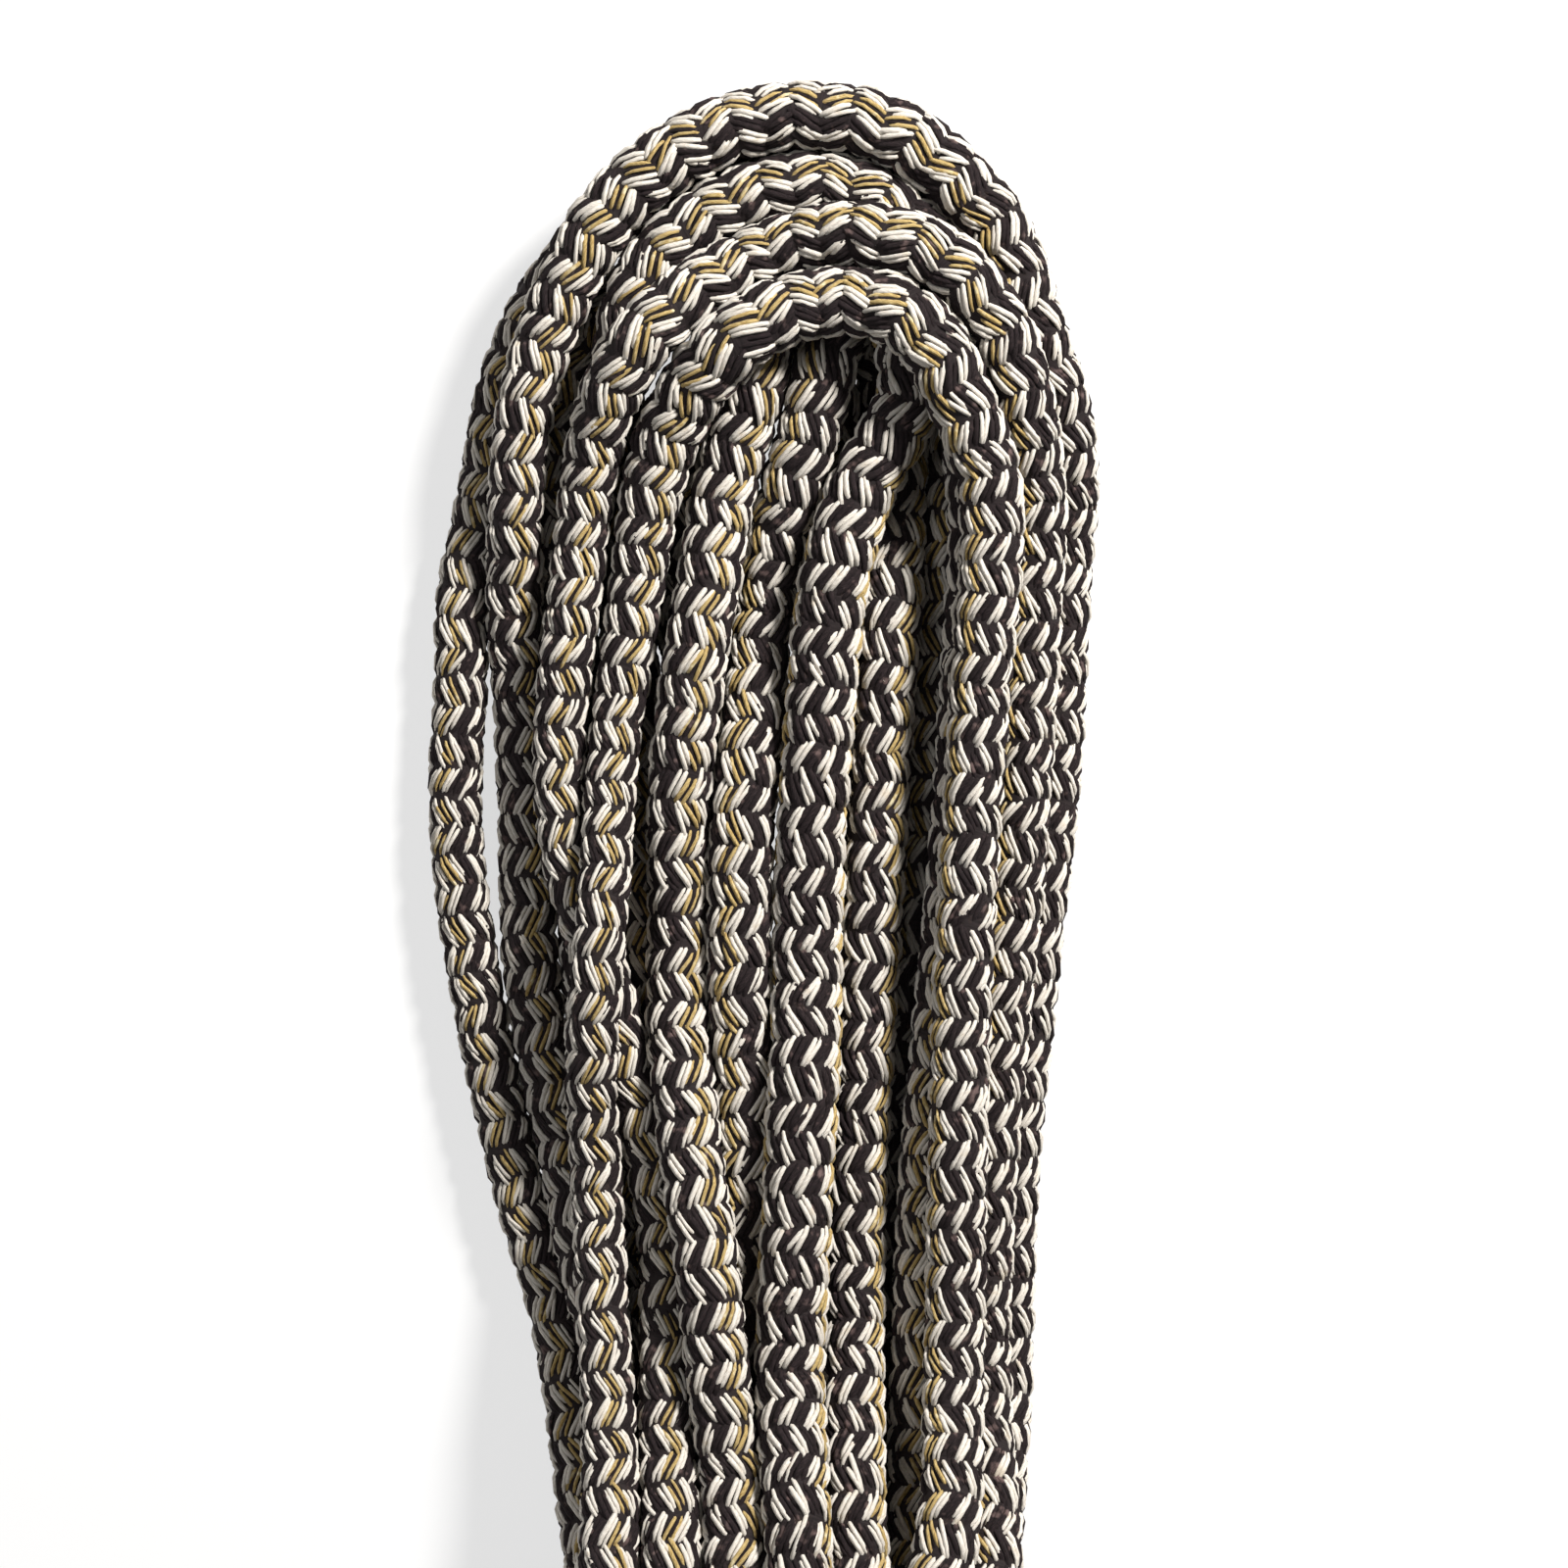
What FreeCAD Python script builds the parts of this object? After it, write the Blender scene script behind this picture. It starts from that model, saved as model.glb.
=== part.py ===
import FreeCAD, Part
import math
import os
import Sketcher
from FreeCAD import Placement, Rotation, Vector

# A coiled dock line: a thick soft braided line laid up as a hank. The long bights fan out at +Y, the
# frapping turns bind the neck, the short bights come out of it towards -Y, with the spliced eye and
# the whipped tail beside them. It lies on the plane Z = 0. Millimetres.

doc = FreeCAD.newDocument("coiled_dock_line")

# Driving dimensions. Y runs along the hank, X across it, Z up.
SIZES = [
    ("rope_diameter", 12.0),
    # the whole hank
    ("hank_top", 270.0),
    # long bights, seen in plan
    ("long_length", 268.0),
    ("long_half_width", 57.8),
    ("apex_shift", 6.0),
    ("belly_drop_right", 88.0),
    ("belly_drop_left", 115.0),
    ("waist_drop", 205.0),
    ("waist_left", -41.5),
    ("waist_right", 47.5),
    ("bulge_left", 3.2),
    ("bulge_right", 1.6),
    # long bights, seen from the side
    ("apex_height", 20.0),
    ("shoulder_height", 32.0),
    ("belly_height", 38.0),
    ("long_edge_height", 22.0),
    ("crown_width", 12.0),
    ("shoulder_drop", 34.0),
    ("belly_start_drop", 68.0),
    ("belly_end_drop", 205.0),
    ("lift_run", 45.0),
    # neck, where the turns are gathered
    ("neck_shift", 6.0),
    ("neck_width", 76.0),
    ("neck_height", 37.0),
    ("neck_corner", 14.0),
    ("frapping_count", 4.0),
    # short bights
    ("short_length", 96.0),
    ("short_shift", 2.0),
    ("short_half_width", 42.0),
    ("short_start_half_width", 26.0),
    ("short_start_run", 19.0),
    ("short_belly_drop", 46.0),
    ("short_height", 32.0),
    ("short_end_height", 20.0),
    ("short_drop_run", 32.0),
    # spliced eye and whippings
    ("throat_length", 37.9),
    ("throat_width", 24.6),
    ("throat_height", 13.0),
    ("twine_thickness", 1.1),
    ("eye_whipping_length", 14.0),
    ("tail_whipping_length", 12.0),
    ("tail_whipping_inset", 4.0),
    ("tip_length", 4.0),
    ("cord_gap", 0.3),
]

sheet = doc.addObject("Spreadsheet::Sheet", "Sizes")
for row, (alias, value) in enumerate(SIZES, start=1):
    sheet.set("A%d" % row, alias)
    sheet.set("B%d" % row, str(value))
    sheet.setAlias("B%d" % row, alias)
doc.recompute()


def size(alias):
    """The value of one driving dimension."""
    return float(sheet.get(alias))


ROPE = size("rope_diameter")
RADIUS = ROPE / 2
TOP = size("hank_top")
NECK_START = TOP - size("long_length")
NECK_END = NECK_START - size("frapping_count") * ROPE
SHORT_END = NECK_END - size("short_length")
NECK_BASE = ROPE
NECK_TOP = NECK_BASE + size("neck_height")

# Routes of the two stretches that aren't coiled, and of the eye, chosen by hand for a 12 mm line and
# 96 mm short bights, and grown with those. Each leg starts straight out of the neck's end face, beside
# the short bights. A whipped end lies on its whipping, so its middle is higher than a bare rope's by
# the twine's thickness.
ACROSS = ROPE / 12.0
ALONG = size("short_length") / 96.0
LYING = RADIUS
WHIPPED = RADIUS + size("twine_thickness")
LEG_OFFSET = size("short_start_half_width") + RADIUS + size("cord_gap")
TAIL_OFFSET = max(LEG_OFFSET, size("neck_width") / 2 - RADIUS + size("cord_gap"))
EYE_LEG_X = size("neck_shift") - LEG_OFFSET
TAIL_X = size("neck_shift") + TAIL_OFFSET
SHORT_LEFT = size("short_shift") - size("short_half_width")
SHORT_RIGHT = size("short_shift") + size("short_half_width")
EYE_LEG = [
    (EYE_LEG_X, NECK_END, 18.4 * ACROSS),
    (EYE_LEG_X, NECK_END - 14.0 * ALONG, 18.4 * ACROSS),
    (SHORT_LEFT - 4.0 * ACROSS, NECK_END - 37.0 * ALONG, 8.0 * ACROSS),
    (SHORT_LEFT - 9.0 * ACROSS, NECK_END - 66.0 * ALONG, WHIPPED),
    (SHORT_LEFT - 2.0 * ACROSS, NECK_END - 95.0 * ALONG, WHIPPED),
]
TAIL = [
    (TAIL_X, NECK_END, 26.0 * ACROSS),
    (TAIL_X, NECK_END - 16.0 * ALONG, 26.0 * ACROSS),
    (SHORT_RIGHT + 7.4 * ACROSS, NECK_END - 42.0 * ALONG, 9.5 * ACROSS),
    (SHORT_RIGHT + 7.7 * ACROSS, NECK_END - 72.0 * ALONG, WHIPPED),
    (SHORT_RIGHT + 4.5 * ACROSS, NECK_END - 102.0 * ALONG, WHIPPED),
]
# The loop of the eye, from one side of its throat round to the other: along the throat's axis and
# across it, and the height.
EYE_LOOP = [
    (0.0, 6.15, WHIPPED),
    (14.0, 6.15, WHIPPED),
    (46.4, 31.5, LYING),
    (71.3, 29.3, LYING),
    (88.0, 10.7, LYING),
    (87.6, -14.3, LYING),
    (70.2, -32.3, LYING),
    (45.2, -33.6, LYING),
    (14.0, -6.15, WHIPPED),
    (0.0, -6.15, WHIPPED),
]


def feature(label, shape, place=None):
    """One Part::Feature holding a finished shape."""
    made = doc.addObject("Part::Feature", label)
    made.Label = label
    made.Shape = shape
    made.Placement = place or Placement()
    return made


def route_wire(points):
    """Straight runs joined by tangent arcs, each as large as its two runs allow."""
    points = [Vector(*p) for p in points]
    edges = []
    radii = []
    here = points[0]
    for before, corner, after in zip(points, points[1:], points[2:]):
        back = (before - corner).normalize()
        on = (after - corner).normalize()
        half_turn = (math.pi - back.getAngle(on)) / 2
        reach = 0.45 * min((before - corner).Length, (after - corner).Length)
        radius = reach / math.tan(half_turn)
        radii.append(radius)
        start = corner + back * reach
        end = corner + on * reach
        inward = (back + on).normalize()
        middle = corner + inward * (radius / math.cos(half_turn) - radius)
        edges.append(Part.LineSegment(here, start).toShape())
        edges.append(Part.Arc(start, middle, end).toShape())
        here = end
    edges.append(Part.LineSegment(here, points[-1]).toShape())
    return Part.Wire(edges), radii


def rope_tube(label, points):
    """A rope swept along a route: a spine, a round profile bound to the sheet, and their sweep."""
    wire, radii = route_wire(points)
    spine = feature(label + "_route", wire)
    profile = doc.addObject("Part::Circle", label + "_profile")
    profile.setExpression("Radius", "Sizes.rope_diameter / 2")
    first = Vector(*points[0])
    heading = (Vector(*points[1]) - first).normalize()
    profile.Placement = Placement(first, Rotation(Vector(0, 0, 1), heading))
    sweep = doc.addObject("Part::Sweep", label)
    sweep.Label = label
    sweep.Sections = [profile]
    sweep.Spine = (spine, [])
    sweep.Solid = True
    sweep.Frenet = False
    doc.recompute()
    expected = math.pi * RADIUS**2 * wire.Length
    print(
        "%s: length %.1f, volume %.0f of %.0f, radii %s"
        % (label, wire.Length, sweep.Shape.Volume, expected, [round(r, 1) for r in radii])
    )
    return sweep


def quarter(centre, wide, deep, from_degrees):
    """A quarter of an ellipse in plan, as an edge running anticlockwise."""
    if wide > deep:
        curve = Part.Ellipse(centre, wide, deep)
        turn = 0
    else:
        curve = Part.Ellipse(centre + Vector(0, deep, 0), centre + Vector(-wide, 0, 0), centre)
        turn = -90
    start = math.radians(from_degrees + turn)
    return Part.ArcOfEllipse(curve, start, start + math.pi / 2).toShape()


def bowed(start, end, bulge):
    """An arc between two points in plan whose middle stands out sideways."""
    return Part.Arc(start, (start + end) * 0.5 + Vector(bulge, 0, 0), end).toShape()


def prism(edges, along):
    """The face inside some edges, moved along a vector."""
    return Part.Face(Part.Wire(Part.__sortEdges__(edges))).extrude(along)


def side_prism(outline):
    """A side profile of (y, z) points, made into a prism that spans the hank's width."""
    reach = 3 * size("long_half_width")
    corners = [Vector(-reach, y, z) for y, z in outline]
    wire = Part.makePolygon(corners + corners[:1])
    return Part.Face(wire).extrude(Vector(2 * reach, 0, 0))


def crown_prism(outline):
    """A front profile of (x, z) points, made into a prism that spans the hank's length."""
    corners = [Vector(x, -TOP, z) for x, z in outline]
    wire = Part.makePolygon(corners + corners[:1])
    return Part.Face(wire).extrude(Vector(0, 2 * TOP, 0))


def make_long_bights():
    """The outer shape of the long bights: an egg in plan that narrows to the neck."""
    half = size("long_half_width")
    shift = size("apex_shift")
    waist_y = TOP - size("waist_drop")
    neck_left = size("neck_shift") - size("neck_width") / 2
    neck_right = size("neck_shift") + size("neck_width") / 2
    right_y = TOP - size("belly_drop_right")
    left_y = TOP - size("belly_drop_left")
    waist_right = Vector(size("waist_right"), waist_y, 0)
    waist_left = Vector(size("waist_left"), waist_y, 0)
    right = Vector(half, right_y, 0)
    left = Vector(-half, left_y, 0)
    edges = [
        quarter(Vector(shift, right_y, 0), half - shift, size("belly_drop_right"), 0),
        quarter(Vector(shift, left_y, 0), half + shift, size("belly_drop_left"), 90),
        bowed(left, waist_left, -size("bulge_left")),
        Part.LineSegment(waist_left, Vector(neck_left, NECK_START, 0)).toShape(),
        Part.LineSegment(
            Vector(neck_left, NECK_START, 0), Vector(neck_right, NECK_START, 0)
        ).toShape(),
        Part.LineSegment(Vector(neck_right, NECK_START, 0), waist_right).toShape(),
        bowed(waist_right, right, size("bulge_right")),
    ]
    plan = prism(edges, Vector(0, 0, NECK_TOP))
    profile = side_prism(
        [
            (TOP, 0),
            (TOP, size("apex_height")),
            (TOP - size("shoulder_drop"), size("shoulder_height")),
            (TOP - size("belly_start_drop"), size("belly_height")),
            (TOP - size("belly_end_drop"), size("belly_height")),
            (NECK_START, NECK_TOP),
            (NECK_START, NECK_BASE),
            (NECK_START + size("lift_run"), 0),
        ]
    )
    crown = crown_prism(
        [
            (-half, 0),
            (-half, size("long_edge_height")),
            (-half + size("crown_width"), size("belly_height")),
            (neck_left, NECK_TOP),
            (neck_right, NECK_TOP),
            (half - size("crown_width"), size("belly_height")),
            (half, size("long_edge_height")),
            (half, 0),
        ]
    )
    return plan.common(profile).common(crown)


def make_short_bights():
    """The outer shape of the short bights: they leave the neck, widen and close in a round end."""
    shift = size("short_shift")
    half = size("short_half_width")
    start_half = size("short_start_half_width")
    belly_y = NECK_END - size("short_belly_drop")
    centre = Vector(shift, belly_y, 0)
    neck = size("neck_shift")
    start_left = Vector(neck - start_half, NECK_END, 0)
    start_right = Vector(neck + start_half, NECK_END, 0)
    straight = Vector(0, -size("short_start_run"), 0)
    depth = belly_y - SHORT_END
    edges = [
        quarter(centre, half, depth, 180),
        quarter(centre, half, depth, 270),
        Part.LineSegment(Vector(shift + half, belly_y, 0), start_right + straight).toShape(),
        Part.LineSegment(start_right + straight, start_right).toShape(),
        Part.LineSegment(start_right, start_left).toShape(),
        Part.LineSegment(start_left, start_left + straight).toShape(),
        Part.LineSegment(start_left + straight, Vector(shift - half, belly_y, 0)).toShape(),
    ]
    plan = prism(edges, Vector(0, 0, NECK_TOP))
    profile = side_prism(
        [
            (NECK_END, NECK_BASE),
            (NECK_END, NECK_TOP),
            (NECK_END - size("short_drop_run"), size("short_height")),
            (belly_y, size("short_height")),
            (SHORT_END, size("short_end_height")),
            (SHORT_END, 0),
            (NECK_END - size("short_drop_run"), 0),
        ]
    )
    crown = crown_prism(
        [
            (shift - half, 0),
            (shift - half, size("short_end_height")),
            (shift - half + size("crown_width"), size("short_height")),
            (neck - start_half, NECK_TOP),
            (neck + start_half, NECK_TOP),
            (shift + half - size("crown_width"), size("short_height")),
            (shift + half, size("short_end_height")),
            (shift + half, 0),
        ]
    )
    return plan.common(profile).common(crown)


def rounded_rectangle(sketch, width, height, corner, base):
    """A rounded rectangle, centred across and standing on a base line, bound to expressions."""
    half_width = 30.0
    tall = 30.0
    r = 5.0
    lines = [
        (Vector(-half_width + r, 0, 0), Vector(half_width - r, 0, 0)),
        (Vector(half_width, r, 0), Vector(half_width, tall - r, 0)),
        (Vector(half_width - r, tall, 0), Vector(-half_width + r, tall, 0)),
        (Vector(-half_width, tall - r, 0), Vector(-half_width, r, 0)),
    ]
    centres = [
        (half_width - r, r, -90),
        (half_width - r, tall - r, 0),
        (-half_width + r, tall - r, 90),
        (-half_width + r, r, 180),
    ]
    first = sketch.GeometryCount
    for side, ((a, b), (x, y, turn)) in enumerate(zip(lines, centres)):
        sketch.addGeometry(Part.LineSegment(a, b), False)
        circle = Part.Circle(Vector(x, y, 0), Vector(0, 0, 1), r)
        start = math.radians(turn)
        sketch.addGeometry(Part.ArcOfCircle(circle, start, start + math.pi / 2), False)
    for side in range(4):
        line = first + 2 * side
        arc = line + 1
        following = first + (2 * side + 2) % 8
        sketch.addConstraint(Sketcher.Constraint("Tangent", line, 2, arc, 1))
        sketch.addConstraint(Sketcher.Constraint("Tangent", arc, 2, following, 1))
        way = "Horizontal" if side % 2 == 0 else "Vertical"
        sketch.addConstraint(Sketcher.Constraint(way, line))
        if side:
            sketch.addConstraint(Sketcher.Constraint("Equal", first + 1, arc))
    bound = [
        (Sketcher.Constraint("Radius", first + 1, r), corner),
        (Sketcher.Constraint("DistanceX", first + 6, 1, first + 2, 1, 2 * half_width), width),
        (Sketcher.Constraint("DistanceY", first, 1, first + 4, 1, tall), height),
        (Sketcher.Constraint("DistanceY", -1, 1, first, 1, 0.5), base),
        (Sketcher.Constraint("DistanceX", first + 6, 1, -1, 1, half_width), "(%s) / 2" % width),
    ]
    for constraint, expression in bound:
        number = sketch.addConstraint(constraint)
        sketch.setExpression("Constraints[%d]" % number, expression)


def origin_plane(body, role):
    """One of a body's own origin planes."""
    return [f for f in body.Origin.OriginFeatures if f.Role == role][0]


def neck_body(label, outlines):
    """A prism along the neck, made of one or two rounded rectangles on the body's XZ plane."""
    body = doc.addObject("PartDesign::Body", label)
    body.Label = label
    sketch = body.newObject("Sketcher::SketchObject", label + "_section")
    sketch.AttachmentSupport = (origin_plane(body, "XZ_Plane"), [""])
    sketch.MapMode = "FlatFace"
    for width, height, corner, base in outlines:
        rounded_rectangle(sketch, width, height, corner, base)
    pad = body.newObject("PartDesign::Pad", label + "_pad")
    pad.Profile = sketch
    pad.setExpression("Length", "Sizes.frapping_count * Sizes.rope_diameter")
    pad.Reversed = False
    body.Placement.Base = Vector(size("neck_shift"), NECK_START, 0)
    return body


def make_throat(start, heading):
    """The spliced throat of the eye: round at the leg, wide enough for two parts at the crotch."""
    round_end = Part.Wire(Part.Circle(Vector(0, 0, 0), Vector(0, 0, 1), RADIUS).toShape())
    wide = Part.Ellipse(
        Vector(0, 0, size("throat_length")), size("throat_width") / 2, size("throat_height") / 2
    )
    shape = Part.makeLoft([round_end, Part.Wire(wide.toShape())], True, True)
    across = Vector(0, 0, 1).cross(heading)
    place = Placement(start, Rotation(across, Vector(0, 0, 1), heading, "ZXY"))
    return feature("eye_throat", shape, place)


def band(label, inner_radius, length_alias, start, heading):
    """A whipping: a sleeve of twine round the rope, as a cut of two cylinders."""
    place = Placement(start, Rotation(Vector(0, 0, 1), heading))
    outer = doc.addObject("Part::Cylinder", label + "_outer")
    outer.setExpression("Radius", "%s + Sizes.twine_thickness" % inner_radius)
    outer.setExpression("Height", "Sizes." + length_alias)
    inner = doc.addObject("Part::Cylinder", label + "_inner")
    inner.setExpression("Radius", inner_radius)
    inner.setExpression("Height", "Sizes." + length_alias)
    ring = doc.addObject("Part::Cut", label)
    ring.Label = label
    ring.Base = outer
    ring.Tool = inner
    ring.Placement = place
    return ring


def end_of(points):
    """The last point of a route, and the direction in which it ends."""
    last = Vector(*points[-1])
    return last, (last - Vector(*points[-2])).normalize()


pieces = []
pieces.append(feature("long_bights", make_long_bights()))
pieces.append(feature("short_bights", make_short_bights()))

NECK = ("Sizes.neck_width", "Sizes.neck_height", "Sizes.neck_corner", "Sizes.rope_diameter")
WRAP = (
    "Sizes.neck_width + 2 * Sizes.rope_diameter",
    "Sizes.neck_height + 2 * Sizes.rope_diameter",
    "Sizes.neck_corner + Sizes.rope_diameter",
    "0",
)
pieces.append(neck_body("gathered_turns", [NECK]))
pieces.append(neck_body("frapping_turns", [WRAP, NECK]))

for label, route in (("eye_leg", EYE_LEG), ("tail", TAIL)):
    pieces.append(rope_tube(label, route))

throat_start, throat_heading = end_of(EYE_LEG)
pieces.append(make_throat(throat_start, throat_heading))
across = throat_heading.cross(Vector(0, 0, 1)).normalize()
crotch = throat_start + throat_heading * size("throat_length")
loop_route = []
for along, aside, height in EYE_LOOP:
    place = crotch + throat_heading * (along * ACROSS) + across * (aside * ACROSS)
    loop_route.append((place.x, place.y, height))
pieces.append(rope_tube("eye_loop", loop_route))

ROPE_WALL = "Sizes.rope_diameter / 2"
band_start = throat_start - throat_heading * size("eye_whipping_length")
pieces.append(band("eye_whipping", ROPE_WALL, "eye_whipping_length", band_start, throat_heading))
tail_end, tail_heading = end_of(TAIL)
reach = size("tail_whipping_inset") + size("tail_whipping_length")
band_start = tail_end - tail_heading * reach
pieces.append(band("tail_whipping", ROPE_WALL, "tail_whipping_length", band_start, tail_heading))

tip = doc.addObject("Part::Cone", "tail_tip")
tip.Label = "tail_tip"
tip.setExpression("Radius1", "Sizes.rope_diameter / 2")
tip.setExpression("Radius2", "Sizes.rope_diameter / 2 - 1")
tip.setExpression("Height", "Sizes.tip_length")
tip.Placement = Placement(tail_end, Rotation(Vector(0, 0, 1), tail_heading))
pieces.append(tip)

doc.recompute()

for item in doc.Objects:
    if "Invalid" in item.State or "Error" in item.State:
        raise RuntimeError("%s: %s" % (item.Label, item.State))
for piece in pieces:
    if piece.Shape.isNull() or not piece.Shape.isValid() or not piece.Shape.Solids:
        raise RuntimeError("%s has no valid solid" % piece.Label)

os.makedirs("parts", exist_ok=True)
for piece in pieces:
    piece.Shape.exportStep(os.path.join("parts", piece.Label + ".step"))
    box = piece.Shape.optimalBoundingBox()
    print(
        "%-16s %9.0f mm3  x %.1f..%.1f  y %.1f..%.1f  z %.1f..%.1f"
        % (piece.Label, piece.Shape.Volume, box.XMin, box.XMax, box.YMin, box.YMax, box.ZMin, box.ZMax)
    )
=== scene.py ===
import math

import bpy
import numpy as np
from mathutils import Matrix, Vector


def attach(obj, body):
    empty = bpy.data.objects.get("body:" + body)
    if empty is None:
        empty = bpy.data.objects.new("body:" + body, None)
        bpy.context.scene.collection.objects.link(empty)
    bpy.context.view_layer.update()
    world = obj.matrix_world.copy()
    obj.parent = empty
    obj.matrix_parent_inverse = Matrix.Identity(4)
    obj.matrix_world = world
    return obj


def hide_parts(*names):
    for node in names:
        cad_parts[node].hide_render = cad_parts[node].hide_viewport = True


# The coiled dock line: one braided rope, laid up as a hank. Metres, +Y towards the long bights, +Z up.

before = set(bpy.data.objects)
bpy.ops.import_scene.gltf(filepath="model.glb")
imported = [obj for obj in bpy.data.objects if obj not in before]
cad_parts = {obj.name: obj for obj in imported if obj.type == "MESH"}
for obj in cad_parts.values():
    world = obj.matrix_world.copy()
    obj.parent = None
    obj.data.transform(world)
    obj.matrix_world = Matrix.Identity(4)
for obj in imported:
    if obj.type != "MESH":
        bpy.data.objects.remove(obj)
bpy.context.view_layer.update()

MM = 0.001
ROPE = 12 * MM
RADIUS = ROPE / 2
FULL_TURN = 2 * math.pi


# ---------------------------------------------------------------- route of the rope, in millimetres

# The eye, from the splice's buried end round to the other side of its throat, then the throat, the leg
# and the neck: the same points as the solids'. The tail likewise, from the neck to its end.
THROAT_START = Vector((-42.0, -141.0, 7.1))
THROAT_LENGTH = 37.9
HEADING = Vector((7.0, -29.0, 0.0)).normalized()
ASIDE = HEADING.cross(Vector((0, 0, 1)))
CROTCH = THROAT_START + HEADING * THROAT_LENGTH
EYE_LOOP = [
    (0.0, -6.15, 7.1),
    (14.0, -6.15, 7.1),
    (45.2, -33.6, 6.0),
    (70.2, -32.3, 6.0),
    (87.6, -14.3, 6.0),
    (88.0, 10.7, 6.0),
    (71.3, 29.3, 6.0),
    (46.4, 31.5, 6.0),
    (14.0, 6.15, 7.1),
    (0.0, 6.15, 7.1),
]
EYE_LEG = [
    (-42.0, -141.0, 7.1),
    (-49.0, -112.0, 7.1),
    (-44.0, -83.0, 8.0),
    (-26.3, -60.0, 18.4),
    (-26.3, -46.0, 18.4),
]
TAIL = [
    (38.3, -46.0, 26.0),
    (38.3, -62.0, 26.0),
    (51.4, -88.0, 9.5),
    (51.7, -118.0, 7.1),
    (48.5, -148.0, 7.1),
]

# The turns, in the order in which they were laid. Each goes up its left leg, over its top and down its
# right leg. The legs' places across the hank are given at these distances along it, from the neck up,
# and each leg ends in a shoulder, from which a quarter of an ellipse leads to the top.
LEG_Y = (12.0, 45.0, 79.0, 113.0, 147.0)
TURNS = [
    {
        "left": ((-29.6, 20), (-34.8, 9), (-42.0, 6), (-51.0, 6), (-54.4, 6)),
        "left_shoulder": (-51.5, 178, 6),
        "top": (6.3, 262, 6),
        "right_shoulder": (43.8, 200, 6),
        "right": ((32.0, 20), (33.8, 9), (34.4, 6), (37.3, 6), (41.1, 6)),
        "girth": (0.84, 1.0, 0.95),
    },
    {
        "left": ((-26.2, 31), (-25.4, 19), (-33.8, 11), (-39.8, 6), (-41.9, 6)),
        "left_shoulder": (-41.7, 204, 14),
        "top": (6.9, 264.6, 17),
        "right_shoulder": (51.6, 189, 9),
        "right": ((40.6, 26), (42.0, 12), (43.5, 7), (48.0, 6), (51.4, 6)),
        "girth": (0.9, 1.07, 0.9),
    },
    {
        "left": ((-15.6, 20), (-20.5, 9), (-25.0, 6), (-30.4, 6), (-31.0, 6)),
        "left_shoulder": (-34.8, 202, 6),
        "top": (16.3, 253, 6),
        "right_shoulder": (33.7, 200, 6),
        "right": ((20.0, 20), (21.5, 9), (23.0, 6), (26.2, 6), (30.2, 6)),
        "girth": (0.9, 0.95, 0.92),
    },
    {
        "left": ((-14.0, 31), (-11.0, 17), (-13.5, 8), (-19.5, 6), (-21.0, 6)),
        "left_shoulder": (-30.0, 206, 8),
        "top": (15.0, 254, 17),
        "right_shoulder": (38.9, 199, 15),
        "right": ((26.5, 30), (28.8, 20), (31.2, 17), (34.4, 16), (37.0, 15)),
        "girth": (0.9, 1.0, 0.92),
    },
    {
        "left": ((-14.6, 42), (-15.8, 29), (-18.3, 18), (-27.9, 16), (-34.9, 16)),
        "left_shoulder": (-29.7, 202, 17),
        "top": (18.0, 244, 27),
        "right_shoulder": (47.3, 194, 18),
        "right": ((40.0, 38), (39.0, 24), (39.9, 17), (42.3, 17), (45.4, 17)),
        "girth": (0.84, 1.02, 0.92),
    },
    {
        "left": ((-5.0, 20), (-5.0, 9), (-4.0, 6), (-4.0, 6), (-8.5, 6)),
        "left_shoulder": (-14.5, 188, 6),
        "top": (6.5, 222, 6),
        "right_shoulder": (20.5, 204, 6),
        "right": ((7.0, 20), (10.0, 9), (12.0, 6), (13.0, 6), (13.5, 6)),
        "girth": (0.95, 0.95, 0.95),
    },
    {
        "left": ((-3.9, 42), (-7.0, 29), (-9.2, 19), (-12.2, 17), (-13.4, 17)),
        "left_more": [(-6.8, 198, 17)],
        "left_shoulder": (-1.4, 213, 17),
        "top": (11.5, 240, 13),
        "right_shoulder": (30.5, 226, 15),
        "right_more": [(25.5, 213, 17), (18.0, 200, 20), (14.4, 182, 20)],
        "right": ((5.0, 43), (4.6, 31), (5.0, 21), (5.1, 20), (9.3, 20)),
        "girth": (1.0, 1.04, 1.1),
    },
    {
        "left": ((-3.0, 31), (-3.4, 18), (-3.1, 13), (-4.8, 16), (-2.7, 17)),
        "left_more": [(1.2, 182, 18), (5.0, 200, 19)],
        "left_shoulder": (10.6, 216, 17),
        "top": (20.5, 228, 8),
        "right_shoulder": (29.0, 209, 5),
        "right_more": [(23.6, 196, 6), (21.0, 183, 11), (20.9, 165, 15)],
        "right": ((16.5, 43), (16.6, 29), (17.1, 20), (18.3, 17), (20.6, 17)),
        "girth": (1.02, 1.0, 0.96),
    },
    {
        "left": ((-24.5, 43), (-26.9, 31), (-28.8, 24), (-28.6, 24), (-26.6, 24)),
        "left_shoulder": (-20.6, 189, 25),
        "top": (17.7, 233, 29),
        "right_shoulder": (40.5, 199, 27),
        "right": ((32.6, 44), (33.9, 34), (34.1, 27), (35.3, 27), (37.3, 27)),
        "girth": (0.82, 1.08, 0.93),
    },
]

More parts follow.
